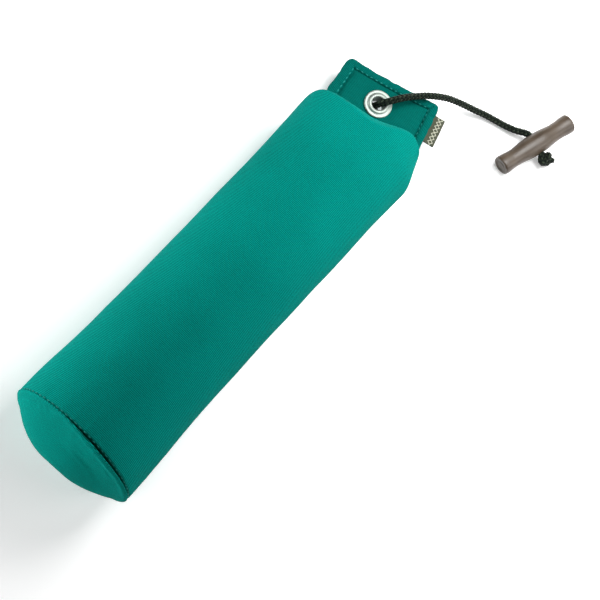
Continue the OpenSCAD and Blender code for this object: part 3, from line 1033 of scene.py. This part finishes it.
def shoulderRow(t, y0, z0, turns, inset):
    # one row of the cloth on its way from the tube's brow to the tab's root
    brow = browLine(y0, z0)
    start = np.stack([brow, rightTaper(brow, y0), z0], 1)
    halfTurn, topness, side = ringSides(turns)
    # the slab that the cloth ends in: the top ply above and the bottom ply below
    reachOut = np.where(halfTurn < 0.5, halfTurn * 2, (1 - halfTurn) * 2)
    reachOut = np.clip(reachOut * 1.08, 0, 1)
    edge = np.where(side > 0, tabSet["left"] - inset, -(tabSet["right"] + inset))
    v = side * reachOut * edge
    thick = (tabSet["half"] - inset * 0.6) * np.sqrt(np.clip(1 - reachOut**6, 0, 1))
    w = np.where(halfTurn < 0.5, -thick, thick)
    end = tabSpot(np.full_like(v, tabSet["root"] - 0.6 * mm), v, w)
    tops = np.clip(topness, 0, 1)[:, None] ** 0.7
    lows = np.clip(-topness, 0, 1)[:, None] ** 0.7
    sides = 1 - tops - lows + tops * lows
    firstTop, firstLow, firstSide = np.array([[4, 0, 0.6], [10, 0, -0.3], [4, 0, 0.2]]) * mm
    lastTop, lastLow, lastSide = np.array([[-1.5, 0, 20], [-11, 0, -5.5], [-7, 0, 4]]) * mm
    first = start + tops * firstTop + lows * firstLow + sides * firstSide
    first[:, 1] *= 0.985
    last = end + tops * lastTop + lows * lastLow + sides * lastSide
    row = (start * (1 - t) ** 3 + first * 3 * t * (1 - t) ** 2
           + last * 3 * t * t * (1 - t) + end * t**3)
    # the gussets: the sides fold in
    fold = np.exp(-((topness + 0.12) / 0.3) ** 2) * math.sin(math.pi * min(1, t**0.85)) ** 1.3
    row[:, 1] -= side * fold * (coverSet["gusset"] * (1.0 if inset == 0 else 0.8))
    row[:, 2] = np.maximum(row[:, 2], coverSet["floorGap"] + inset)
    return row


def backLine(y):
    # where the end seam lies
    return coverSet["backX"] + coverSet["backYaw"] * y / tubeRadius


def foldCorners(row, turns, ahead):
    # the brow's two ends stand out as folded corners, and fade away from the brow
    _, topness, side = ringSides(turns)
    push = coverSet["corner"] * np.exp(-(((topness - 0.5) / 0.3) ** 2))
    push = push * np.exp(-((ahead / coverSet["cornerRun"]) ** 2))
    crease = coverSet["crease"] * np.exp(-(((topness - 0.08) / 0.13) ** 2))
    crease = crease * smoothStep(0, 5 * mm, ahead) * smoothStep(26 * mm, 14 * mm, ahead)
    moved = row.copy()
    moved[:, 0] += push * 0.45
    moved[:, 1] += side * (push * 0.8 - crease)
    moved[:, 2] += push * 0.5
    return moved


def coverRows(inset, first, turned):
    # rows of points from the end seam to the tab, and how far along the cloth each one is
    count = coverSet["round"]
    turns = np.arange(count) / count
    rows, runs = [], []
    if turned:
        y, z = ringShape(tubeBack, turns, 0)
        back = backLine(y)
        for depth, shift in ((1.7, 0.6), (1.35, 0.15)):
            k = 1 - coverSet["turnDepth"] * depth / tubeRadius
            rows.append(np.stack([back + shift * mm, y * k, tubeAxis + (z - tubeAxis) * k], 1))
            runs.append(back - coverSet["turnDepth"] * depth)
        for angle in (90, 66, 44, 24, 8):
            a = math.radians(angle)
            pull = coverSet["turnRadius"] * (1 - math.cos(a))
            ahead = coverSet["turnRadius"] * (1 - math.sin(a))
            k = 1 - pull / tubeRadius
            rows.append(np.stack([back + ahead, y * k, tubeAxis + (z - tubeAxis) * k], 1))
            runs.append(back + ahead - pull)
    for share in np.linspace(first, 1, coverSet["rows"]):
        x = tubeBack + share * (tubeFront + coverSet["shoulderX"] - tubeBack)
        y, z = ringShape(x, turns, inset)
        back = backLine(y) + coverSet["turnRadius"] + 0.5 * mm
        place = back + (browLine(y, z) - back) * share
        row = np.stack([place, rightTaper(place, y), z], 1)
        rows.append(foldCorners(row, turns, place - browLine(y, z)))
        runs.append(place)
    y0, z0 = ringShape(tubeFront + coverSet["shoulderX"], turns, inset)
    coverStart, last = len(rows) - 1, np.stack([place, rightTaper(place, y), z], 1)
    for t in np.linspace(0, 1, coverSet["shoulderRows"] + 1)[1:]:
        row = shoulderRow(t**0.9, y0, z0, turns, inset)
        ahead = runs[-1] - runs[coverStart] + np.linalg.norm(row - last, axis=1)
        runs.append(runs[coverStart] + ahead)
        rows.append(foldCorners(row, turns, ahead))
        last = row
    return rows, runs


def gridFaces(rows, count, closed=True):
    # faces between rows of points, each row a ring or an open line
    faces = []
    for i in range(rows - 1):
        for j in range(count if closed else count - 1):
            k = (j + 1) % count
            faces.append((i * count + j, i * count + k, (i + 1) * count + k, (i + 1) * count + j))
    return faces


def cappedBag(name, rows, material, poleBack=0.0):
    # a closed bag through rings of points, with a pole at each end
    count = len(rows[0])
    points = np.concatenate([*rows, [rows[0].mean(0) - [poleBack, 0, 0]], [rows[-1].mean(0)]])
    faces = gridFaces(len(rows), count)
    first, last, base = len(points) - 2, len(points) - 1, (len(rows) - 1) * count
    for j in range(count):
        k = (j + 1) % count
        faces.append((first, k, j))
        faces.append((last, base + j, base + k))
    return faceOutward(newPiece(name, points, faces, material))


def clothPiece(name, rows, runs, material):
    # a closed-round cloth with its place on the cut in the "cut" map, seam at the floor
    count = len(rows[0])
    points = np.concatenate(rows)
    faces = gridFaces(len(rows), count)
    piece = newPiece(name, points, faces, material)
    girth = 2 * math.pi * tubeRadius
    layer = piece.data.uv_layers.new(name="cut")
    spots = []
    for face in faces:
        columns = [index % count for index in face]
        wrap = max(columns) - min(columns) > 1
        for index, column in zip(face, columns):
            u = (column if column or not wrap else count) / count * girth
            spots.append((u, runs[index // count][column]))
    layer.data.foreach_set("uv", np.array(spots, np.float32).ravel())
    return piece


simSet = {
    "frames": 18,
    "quality": 4,
    "mass": 0.25,
    "stiff": 18.0,
    "shear": 8,
    "bend": 0.6,
    "pressure": 3.2,
    "grow": -0.006,
    "cap": 2.6 * mm,  # furthest that the run may move the cover
    "panelCap": 0.7 * mm,
}


def inflate(piece, pinned, cap):
    # a short cloth run under pressure, with the pinned points held
    rest = coordinates(piece)
    group = piece.vertex_groups.new(name="held")
    for index, weight in pinned:
        group.add([int(index)], float(weight), "REPLACE")
    cloth = addModifier(piece, "CLOTH")
    settings = cloth.settings
    settings.quality = simSet["quality"]
    settings.mass = simSet["mass"]
    settings.tension_stiffness = settings.compression_stiffness = simSet["stiff"]
    settings.shear_stiffness = simSet["shear"]
    settings.bending_stiffness = simSet["bend"]
    settings.use_pressure = True
    settings.uniform_pressure_force = simSet["pressure"]
    settings.shrink_min = simSet["grow"]
    settings.vertex_group_mass = "held"
    settings.effector_weights.gravity = 0
    cloth.point_cache.frame_start, cloth.point_cache.frame_end = 1, simSet["frames"]
    for number in range(1, simSet["frames"] + 1):
        scene.frame_set(number)
    depsgraph = bpy.context.evaluated_depsgraph_get()
    result = piece.evaluated_get(depsgraph).to_mesh()
    moved = np.zeros(len(rest) * 3)
    result.vertices.foreach_get("co", moved)
    moved = moved.reshape(-1, 3) - rest
    piece.modifiers.clear()
    piece.vertex_groups.clear()
    scene.frame_set(1)
    size = np.linalg.norm(moved, axis=1, keepdims=True)
    moved *= cap * np.tanh(size / cap) / np.maximum(size, 1e-9)
    placed = rest + moved
    placed[:, 2] = np.maximum(placed[:, 2], coverSet["floorGap"])
    setCoordinates(piece, placed)
    print(piece.name, "settled, moved up to", round(float(size.max()) * 1000, 2), "mm")


def ripple(points, scale, seed=0.0):
    # smooth noise, one value a point
    shift = Vector((seed, seed * 1.7, seed * 0.3))
    return np.array([noise.noise(Vector(p) / scale + shift) for p in points])


def makeCover():
    rows, runs = coverRows(0.0, 0.0, True)
    cover = clothPiece("coverCloth", rows, runs, canvas)
    count, total = coverSet["round"], len(rows)
    held = [(i * count + j, 1.0) for i in range(7) for j in range(count)]
    held += [(i * count + j, w) for i, w in ((total - 1, 1.0), (total - 2, 0.8), (total - 3, 0.4))
             for j in range(count)]
    inflate(cover, held, simSet["cap"])
    addModifier(cover, "SUBSURF", levels=1, render_levels=1)
    settle(cover)
    points = coordinates(cover)
    normals = normalsOf(cover)
    if (normals[:, 2] * (points[:, 2] - tubeAxis)).sum() < 0:
        cover.data.flip_normals()
        normals = -normals
    # soft dents all over, and short puckers that run out from the end seam
    fromSeam = points[:, 0] - backLine(points[:, 1])
    around = aroundTube(points)
    drawn = np.stack([around * 9.5, np.zeros(len(points)), fromSeam / (30 * mm)], 1)
    pucker = ripple(drawn, 1.0, 3.1) * np.exp(-np.clip(fromSeam, 0, 1) / (8 * mm))
    pucker *= smoothStep(-1 * mm, 3 * mm, fromSeam)
    dent = ripple(points, 34 * mm, 7.7) * 0.7 + ripple(points, 13 * mm, 1.3) * 0.22
    lift = pucker * coverSet["pucker"] + dent * coverSet["dent"] * smoothStep(0, 10 * mm, fromSeam)
    lift *= smoothStep(0.5 * mm, 6 * mm, points[:, 2])
    points += normals * lift[:, None]
    points[:, 2] = np.maximum(points[:, 2], coverSet["floorGap"])
    setCoordinates(cover, points)
    handOver(cover, "bumper", "canvas", "cover_tube", "shoulder_top", "shoulder_bottom", "gusset_left",
                "gusset_right")
    return cover


wadSet = {"inset": 3.6 * mm, "back": 8, "ahead": 6}  # rings behind and ahead of the shoulder's


def makeNeckWadding():
    rows = coverRows(wadSet["inset"], 1.0, False)[0]
    keep = rows[-(coverSet["shoulderRows"] + wadSet["back"]):-wadSet["ahead"]]
    wad = cappedBag("neckWadding", keep, waddingFibre)
    handOver(wad, "bumper", "wadding", "neck_wadding")


bindingSet = {
    "round": 140,
    "reach": 2.4 * mm,  # a distance each way from the fold
    "girth": 0.13,  # of the cut cloth
    "section": (  # how far ahead of the root and how proud of the tab, in millimetres
        (-4.2, -0.9), (-3.6, 0.1), (-2.7, 0.45), (-1.8, 0.5), (-0.9, 0.45), (0, 0.4),
        (0.9, 0.45), (1.7, 0.5), (2.4, 0.45), (3.0, 0.15), (3.3, -0.8),
    ),
}


def makeRootBinding():
    # a sewn sleeve round the tab's root
    count = bindingSet["round"]
    turns = np.arange(count) / count
    halfTurn, _, side = ringSides(turns)
    reachOut = np.clip(np.where(halfTurn < 0.5, halfTurn, 1 - halfTurn) * 2, 0, 1)
    edge = np.where(side > 0, tabSet["left"], -tabSet["right"])
    rows, cut = [], []
    for ahead, proud in bindingSet["section"]:
        thick = (tabSet["half"] + proud * mm) * (1 - reachOut**9) ** 0.5
        v = side * reachOut * (edge + (0.5 + proud) * mm)
        w = np.where(halfTurn < 0.5, -thick, thick)
        rows.append(tabSpot(np.full(count, tabSet["root"] + ahead * mm), v, w))
        cut.append(np.stack([turns * bindingSet["girth"], np.full(count, ahead * mm)], 1))
    band = newPiece("rootBinding", np.concatenate(rows), gridFaces(len(rows), count), tabCanvas,
                    np.concatenate(cut))
    faceOutward(band)
    settleCloth(band, 0.6 * mm)
    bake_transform(band)


cover = makeCover()
makeNeckWadding()
makeRootBinding()
print("cover sewn:", len(cover.data.polygons), "faces")

# the end panel and its seam

panelSet = {
    "round": 160,  # points round the panel
    "rings": 34,
    "bulge": 13.4 * mm,
    "dip": 1.2 * mm,
    "gap": 1.1 * mm,  # where the seam stands open
    "ridge": 0.5 * mm,  # how far the rim stands out beyond the tube
    "rimWide": 1.0 * mm,
}


def seamGap(turns):
    # the seam is tight on its left, and stands open over the top and to the right
    wide = np.exp(-(((turns - 0.57) / 0.115) ** 2))
    return 0.1 * mm + panelSet["gap"] * wide


def domeRise(y, dz, rho):
    # how far the end panel bulges at rho, 0 at its middle and 1 at its rim
    lean = (-y * 0.45 + dz * 0.9) / tubeRadius * rho  # -1 at the lower left, 1 at the upper right
    return (1 - rho**2.1) ** 0.92 * (1 - 0.46 * lean) * panelSet["bulge"]


def panelRows():
    count = panelSet["round"]
    turns = np.arange(count) / count
    y, z = ringShape(tubeBack, turns, 0)
    dz = z - tubeAxis
    gap = seamGap(turns)
    crest = backLine(y) - gap - panelSet["rimWide"] * 0.5
    rows = []

    def ring(scale, x):
        spot = np.stack([x, y * scale, tubeAxis + dz * scale], 1)
        spot[:, 2] = np.maximum(spot[:, 2], coverSet["floorGap"])
        rows.append(spot)

    half = panelSet["rimWide"] * 0.5
    lip = 1 + panelSet["ridge"] * (0.25 + 0.75 * smoothStep(0, 3 * mm, gap)) / tubeRadius
    deep = 1 - 8.5 * mm / tubeRadius
    for s in (0.0, 0.35, 0.7):
        ring(deep + (lip - 0.02 - deep) * s, crest + half * (1 - 0.25 * s))
    for angle in np.linspace(0, 180, 9):
        a = math.radians(angle)
        ring(lip - (1 - math.sin(a)) * half / tubeRadius, crest + half * math.cos(a))
    upRight = (-y * 0.45 + dz * 0.9) / tubeRadius
    for s in np.linspace(0, 1, panelSet["rings"] + 1)[1:]:
        rho = 1 - s
        rise = domeRise(y, dz, rho)
        dip = panelSet["dip"] * np.clip(upRight + 0.3, 0, 1) * np.exp(-(((rho - 0.6) / 0.22) ** 2))
        middle = backLine(0.0) - 1.2 * mm
        base = middle + (crest - half - middle) * rho
        ring((lip - half / tubeRadius) * rho, base - rise + dip)
    return rows


def makeEndPanel():
    rows = panelRows()
    count = len(rows[0])
    points = np.concatenate(rows[:-1] + [rows[-1][:1]])
    faces = gridFaces(len(rows) - 1, count)
    base, pole = (len(rows) - 2) * count, len(points) - 1
    faces += [(base + j, base + (j + 1) % count, pole) for j in range(count)]
    panel = newPiece("endPanel", points, faces, canvas, points[:, 1:3])
    held = [(i, 1.0) for i in range(12 * count)]
    inflate(panel, held, simSet["panelCap"])
    addModifier(panel, "SUBSURF", levels=1, render_levels=1)
    settle(panel)
    spots = coordinates(panel)
    rho = np.hypot(spots[:, 1], spots[:, 2] - tubeAxis) / tubeRadius
    around = aroundTube(spots)
    drawn = np.stack([around * 11, rho * 2.2, np.zeros(len(spots))], 1)
    near = np.exp(-np.clip(1 - rho, 0, 1) / 0.13) * smoothStep(1.0, 0.9, rho)
    lift = ripple(drawn, 1.0, 5.3) * near * 0.8 * mm + ripple(spots, 24 * mm, 2.2) * 0.5 * mm
    spots[:, 0] -= lift * smoothStep(1.02, 0.93, rho)
    setCoordinates(panel, spots)
    if normalsOf(panel)[rho < 0.5][:, 0].mean() > 0:
        panel.data.flip_normals()
    handOver(panel, "bumper", "canvas", "end_panel")
    return panel


panel = makeEndPanel()


def makeInner(name, inset, front, material, node, slotName):
    # a closed bag that follows the end panel and the tube from inside
    count = 96
    turns = np.arange(count) / count
    rows = []
    y, z = ringShape(tubeBack, turns, inset + 1.5 * mm)
    dz = z - tubeAxis
    crest = backLine(0.0) - 1.2 * mm + inset
    for rho in np.linspace(0, 1, 15)[1:]:
        rise = domeRise(y, dz, rho)
        dip = 2.2 * mm * (rho > 0.6) * smoothStep(0.6, 0.84, rho)
        x = crest - rise * 0.96 + dip + 4 * mm * smoothStep(0.78, 1.0, rho)
        k = rho * (1 - 3.5 * mm / tubeRadius)
        rows.append(np.stack([np.broadcast_to(x, y.shape), y * k, tubeAxis + dz * k], 1))
    for x in np.linspace(tubeBack + 9 * mm, front, 60):
        y, z = ringShape(x, turns, inset)
        rows.append(np.stack([np.full(count, x), y, z], 1))
    bag = cappedBag(name, rows, material, 0.05 * mm)
    handOver(bag, "bumper", slotName, node)
    return bag


def makeAllowance():
    # the turned-in edges of tube and panel, sewn together at the bottom of the open seam
    count = panelSet["round"]
    turns = np.arange(count) / count
    y, z = ringShape(tubeBack, turns, 0)
    dz = z - tubeAxis
    back = backLine(y)
    gap = seamGap(turns)
    rows = []
    for ahead, depth in ((1.2, 5.2), (0.4, 5.6), (-0.5, 5.5), (-1.2, 5.8), (-1.9, 5.6),
                         (-2.4, 6.2), (-1.8, 11), (0.6, 11)):
        x = back + np.where(ahead > 0, ahead * mm, ahead * mm - gap * min(1.0, -ahead / 1.9))
        k = 1 - depth * mm / tubeRadius
        rows.append(np.stack([x, y * k, tubeAxis + dz * k], 1))
    points = np.concatenate(rows)
    n = len(rows)
    faces = [tuple(k % (n * count) for k in face) for face in gridFaces(n + 1, count)]
    cut = np.stack([np.tile(turns * 0.24, n), points[:, 0]], 1)
    edge = faceOutward(newPiece("endAllowance", points, faces, canvas, cut))
    handOver(edge, "bumper", "canvas", "end_seam_allowance")


liner = makeInner("linerBag", 2.2 * mm, 100 * mm, linerCloth, "liner_bag", "liner")
filling = makeInner("waddingRoll", 3.4 * mm, 98 * mm, waddingFibre, "wadding", "wadding")
makeAllowance()
stitchTree = buildStitchTree()


def sew(name, path, facing, body, *nodes, **values):
    row = runTree(pathMesh(path, facing), stitchTree, {"Material": thread, **values}, name)
    handOver(row, body, "thread", *nodes)


seamLean = -0.35  # how far the end seam's stitches face back


def sewSeams():
    # the end seam's thread shows where the seam is tight
    turns = np.linspace(0.0, 1.0, 240)
    y, z = ringShape(tubeBack, turns, 0.35 * mm)
    facing = []
    for a, b in zip(y, z):
        way = Vector((seamLean, a, b - tubeAxis)).normalized()
        facing.append(Vector((seamLean, way.y, way.z)).normalized())
    path = [Vector((backLine(a) + 0.5 * mm, a, b)) for a, b in zip(y, z)]
    sew("endSeamThread", path, facing, "bumper", "end_seam_thread",
        Pitch=3.4 * mm, Length=1.9 * mm, Thread=0.24 * mm, Sway=0.12)
    low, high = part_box("side_seam_thread")
    path = [Vector((x, middleOf("side_seam_thread").y, coverSet["floorGap"] + 0.1 * mm))
            for x in np.linspace(low.x, high.x, 60)]
    sew("sideSeamThread", path, [-up] * 60, "bumper", "side_seam_thread",
        Pitch=3.2 * mm, Length=2.2 * mm, Thread=0.28 * mm, Rise=0.1 * mm)


sewSeams()
print("end panel and seams sewn")

# the tab


def outline(s, inset):
    # a place on the tab's three free sides, s metres from the left root, and the way it faces
    r = tabSet["corner"]
    sideRun = tabSet["tip"] - r - tabSet["root"]
    bend = math.pi / 2 * r
    topRun = tabSet["left"] - tabSet["right"] - 2 * r
    if s < sideRun:
        return tabSet["root"] + s, tabSet["left"] - inset, 0.0, 1.0
    s -= sideRun
    if s < bend:
        a = s / r
        return (tabSet["tip"] - r + (r - inset) * math.sin(a),
                tabSet["left"] - r + (r - inset) * math.cos(a), math.sin(a), math.cos(a))
    s -= bend
    if s < topRun:
        return tabSet["tip"] - inset, tabSet["left"] - r - s, 1.0, 0.0
    s -= topRun
    if s < bend:
        a = s / r
        return (tabSet["tip"] - r + (r - inset) * math.cos(a),
                tabSet["right"] + r - (r - inset) * math.sin(a), math.cos(a), -math.sin(a))
    s -= bend
    return tabSet["tip"] - r - s, tabSet["right"] + inset, 0.0, -1.0


def outlineRun():
    r = tabSet["corner"]
    sideRun = tabSet["tip"] - r - tabSet["root"]
    return 2 * sideRun + math.pi * r + tabSet["left"] - tabSet["right"] - 2 * r


def hemFullness(s):
    # how thick the rolled edge is: fullest down the right side and at its corner
    whole = outlineRun()
    right = smoothStep(whole - 36 * mm, whole - 26 * mm, s)
    corner = math.exp(-(((s - whole + 31 * mm) / (4.5 * mm)) ** 2))
    return 1 + 0.42 * float(right) + 0.5 * corner


def makeHem():
    whole = outlineRun()
    steps = int(whole / tabSet["hemStep"])
    width = tabSet["hemWidth"]
    points, cut = [], []
    for i in range(steps + 1):
        s = whole * i / steps
        full = hemFullness(s)
        pull = 0.5 + 0.5 * math.cos(2 * math.pi * s / tabSet["pitch"])
        waver = noise.noise(Vector((s / (5 * mm), 0.5, 0.1)))
        small = noise.noise(Vector((s / (1.9 * mm), 2.5, 0.7)))
        for j in range(width + 1):
            a = math.pi * (j / width * 2 - 1)  # -pi at the top's inner edge, pi at the bottom's
            # a flattened roll: its inner edges dip where the stitches pull them down
            inner = (1 - math.cos(a)) / 2  # 1 at the inner edges, 0 at the outer one
            d = (tabSet["row"] - 0.35 * mm) * inner ** 0.85
            d -= (0.55 * waver + 0.2 * small) * mm * (1 - inner) * full
            rise = max(0.0, math.sin(abs(a))) ** 0.5
            h = (tabSet["half"] * 0.42 + 1.1 * mm * full) * rise
            h += (0.75 - 0.5 * pull) * mm * inner**3
            h += (0.35 * small + 0.2 * waver) * mm * rise
            side = 1 if a < 0 else -1
            u, v, _, _ = outline(s, d - 0.5 * mm * (full - 1))
            points.append(tabSpot(u, v, side * h + 0.15 * mm))
            cut.append((s, (j / width - 0.5) * 14 * mm))
    n = width + 1
    faces = gridFaces(steps + 1, n, False)
    hem = newPiece("tabHem", points, faces, tabCanvas, cut)
    settleCloth(hem, 0.8 * mm)
    handOver(hem, "tab", "tab_canvas", "tab_hem")
    return hem


def plyHeight(u, v):
    # height of the inner cloth above the tab's middle: a pillow that the rows pull down
    toLeft = tabSet["left"] - tabSet["row"] - v
    toRight = v - tabSet["right"] - tabSet["row"]
    toTip = tabSet["tip"] - tabSet["row"] - u
    near = np.minimum(np.minimum(toLeft, toRight), toTip)
    lift = 1 - np.exp(-np.clip(near, 0, None) / (2.0 * mm))
    run = np.where(toTip < np.minimum(toLeft, toRight), v, u)
    pull = 0.5 + 0.5 * np.cos(2 * math.pi * run / tabSet["pitch"])
    crimp = np.exp(-np.clip(near, 0, None) / (2.6 * mm)) * pull * 0.5 * mm
    height = 0.9 * mm + (tabSet["half"] - 0.4 * mm) * lift - crimp
    toEye = np.hypot(u, v)
    flat = smoothStep(13.5 * mm, 9.2 * mm, toEye)
    height = height * (1 - flat) + (tabSet["half"] - 0.15 * mm) * flat
    rootRow = np.exp(-(((u - tabSet["root"] - tabSet["rootRow"]) / (1.3 * mm)) ** 2))
    return height - rootRow * 0.35 * mm


def makePly(name, side, node):
    step = tabSet["plyStep"]
    inset = tabSet["row"] - 1.0 * mm
    us = np.arange(tabSet["root"] - 1.2 * mm, tabSet["tip"] - inset + step / 2, step)
    vs = np.arange(tabSet["right"] + inset, tabSet["left"] - inset + step / 2, step)
    u, v = np.meshgrid(us, vs, indexing="ij")
    h = plyHeight(u, v)
    spots = np.stack([u, v, np.full_like(u, side * 5 * mm)], -1).reshape(-1, 3)
    wrinkle = ripple(spots * [1, 0.45, 1], 4.2 * mm, 4.0) * 0.38 + ripple(spots, 9 * mm, 6.0) * 0.5
    toEye = np.hypot(u, v).ravel()
    wrinkle *= smoothStep(8 * mm, 11 * mm, toEye)
    h = h.ravel() + wrinkle * mm * 0.7
    points = tabSpot(u.ravel(), v.ravel(), side * h)
    n = len(vs)
    keep = toEye > tabSet["hole"]
    faces = [face if side < 0 else face[::-1]
             for face in gridFaces(len(us), n, False) if all(keep[k] for k in face)]
    cut = np.stack([v.ravel(), u.ravel()], 1)
    ply = newPiece(name, points, faces, tabCanvas, cut)
    work = bmesh.new()
    work.from_mesh(ply.data)
    bmesh.ops.delete(work, geom=[p for p in work.verts if not p.link_faces], context="VERTS")
    work.to_mesh(ply.data)
    work.free()
    settleCloth(ply, 0.7 * mm)
    handOver(ply, "tab", "tab_canvas", node)
    return ply


def stitchTab():
    # one row round the three free sides and one across the root, on both faces
    whole = outlineRun()
    for side, name, node in ((1, "tabStitches", "tab_stitching"),
                             (-1, "tabBackStitches", "tab_back_stitching")):
        path = []
        for i in range(241):
            u, v, _, _ = outline(whole * i / 240, tabSet["row"] - 0.1 * mm)
            path.append(Vector(tabSpot(u, v, side * tabSet["rowHigh"])))
        sew(name, path, [up * side] * len(path), "tab", node,
            Pitch=tabSet["pitch"], Length=2.2 * mm, Thread=0.42 * mm, Rise=0.6 * mm, Sway=0.22)
        vs = np.linspace(tabSet["right"] + tabSet["row"], tabSet["left"] - tabSet["row"], 80)
        us = np.full(80, tabSet["root"] + tabSet["rootRow"])
        hs = plyHeight(us, vs) + 0.05 * mm
        path = [Vector(tabSpot(u, v, side * h)) for u, v, h in zip(us, vs, hs)]
        sew(name + "Root", path, [up * side] * 80, "tab",
            Pitch=tabSet["pitch"], Length=2.3 * mm, Thread=0.3 * mm, Sway=0.1)


makeHem()
makePly("tabTopCloth", 1, "tab_top_panel")
makePly("tabBottomCloth", -1, "tab_bottom_panel")
stitchTab()
print("tab sewn")

# eyelet and washer

eyeletSet = {
    "hole": 4.0 * mm,
    "barrel": 4.9 * mm,
    "flange": 8.6 * mm,
    "lip": 6.4 * mm,
    "lipHigh": 0.95 * mm,
    "thick": 1.1 * mm,
    "washerHole": 5.0 * mm,
}


def makeEyelet():
    e = eyeletSet
    top = eyeHigh.z - foldAt.z
    bottom = eyeLow.z - foldAt.z
    face = top - e["lipHigh"]  # the flat of the flange
    lipR = (e["lip"] - e["hole"]) / 2
    edge = e["thick"] / 2
    profile = [(e["hole"], bottom + 0.5 * mm), (e["hole"], (top + bottom) / 2),
               (e["hole"], top - lipR * 0.8)]
    profile += [(e["hole"] + lipR - lipR * math.cos(a), top - lipR * 0.8 + lipR * 0.8 * math.sin(a))
                for a in np.linspace(0.25, math.pi * 0.86, 11)]
    profile += [(e["lip"] + 0.25 * mm, face + 0.03 * mm), (e["lip"] + 0.7 * mm, face)]
    profile += [(r * mm, face + 0.04 * mm * (1 if k % 2 else 0))
                for k, r in enumerate((7.4, 7.7))]
    profile += arc((e["flange"] - edge, face - edge), edge, 90, -90, 8)
    profile += [(e["barrel"], face - e["thick"]), (e["barrel"], bottom + 0.5 * mm)]
    profile += arc(((e["barrel"] + e["hole"]) / 2, bottom + 0.5 * mm),
                   (e["barrel"] - e["hole"]) / 2, 0, -180, 5)
    ring = lathe("eyeletRing", profile, nickel, Matrix.Identity(3), eyeAt, 96)
    handOver(ring, "tab", "nickel", "eyelet")
    low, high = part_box("eyelet_washer")
    outer = (high.x - low.x) / 2
    top, bottom = high.z - foldAt.z, low.z - foldAt.z
    edge = min(0.4 * mm, (top - bottom) / 2.2)
    profile = [(eyeletSet["washerHole"], top - 0.1 * mm), (outer - edge, top)]
    profile += arc((outer - edge, top - edge), edge, 90, 0, 4)
    profile += arc((outer - edge, top - 2 * edge), edge, 0, -90, 4)
    profile += [(6.6 * mm, top - 3 * edge), (6.2 * mm, bottom + 0.1 * mm), (5.6 * mm, bottom),
                (5.1 * mm, bottom + 0.2 * mm), (eyeletSet["washerHole"], bottom + 0.5 * mm)]
    washer = lathe("eyeletWasher", profile, nickel, Matrix.Identity(3), eyeAt, 80)
    handOver(washer, "tab", "nickel", "eyelet_washer")


makeEyelet()
print("eyelet set")

# label

labelSet = {
    "start": -5.6 * mm,
    "width": 18.2 * mm,
    "out": 7.4 * mm,
    "inside": 6 * mm,
    "loop": 0.75 * mm,  # half the folded ribbon's thickness
    "cloth": 0.35 * mm,
    "bow": 0.5 * mm,
    "ruffle": 0.35 * mm,
    "steps": 44,
    "run": 14,  # steps along each half of the folded ribbon
}


def makeLabel():
    e = labelSet
    far = -tabSet["right"] + e["out"] + 0.6 * mm
    near = -tabSet["right"] - e["inside"]
    run = (far - e["loop"] - near) / e["run"]
    section = [(near + run * k, 1.0) for k in range(e["run"] + 1)]
    for a in np.linspace(75, -75, 7):
        section.append((far - e["loop"] + e["loop"] * math.cos(math.radians(a)),
                        math.sin(math.radians(a))))
    section += [(far - e["loop"] - run * k, -1.0) for k in range(e["run"] + 1)]
    steps = e["steps"]
    points, cut = [], []
    for i in range(steps + 1):
        u = e["start"] + e["width"] * i / steps
        bow = e["bow"] * math.sin(2.2 * u / (10 * mm) + 0.6)
        run = 0.0
        for k, (v, side) in enumerate(section):
            if k:
                run += math.hypot(v - section[k - 1][0],
                                  (side - section[k - 1][1]) * e["loop"])
            out = max(0.0, (v + tabSet["right"]) / e["out"])
            w = side * e["loop"] * (0.55 + 0.45 * min(1, out)) + bow * out - 0.8 * mm * out
            ruffle = e["ruffle"] * noise.noise(Vector((u / (6 * mm), v / (9 * mm), 3.3))) * out
            points.append(tabSpot(u, -v - ruffle * 0.6, w + ruffle))
            cut.append((u, run))
    middle = cut[(len(section) - 1) // 2][1]
    cut = [(a, b - middle) for a, b in cut]
    n = len(section)
    faces = gridFaces(steps + 1, n, False)
    label = newPiece("sideLabel", points, faces, ribbon, cut)
    addModifier(label, "SOLIDIFY", thickness=e["cloth"], offset=-1)
    settle(label)
    handOver(label, "tab", "ribbon", "side_label")


makeLabel()
print("label sewn")

# finishes of the CAD nodes that stay

for name, material in (("side_seam_allowance", canvas), ("granule_sleeve", granuleMix),
                       ("tab_strip", tabCanvas)):
    node = frame["nodes"][name]
    node.data.materials.clear()
    node.data.materials.append(material)
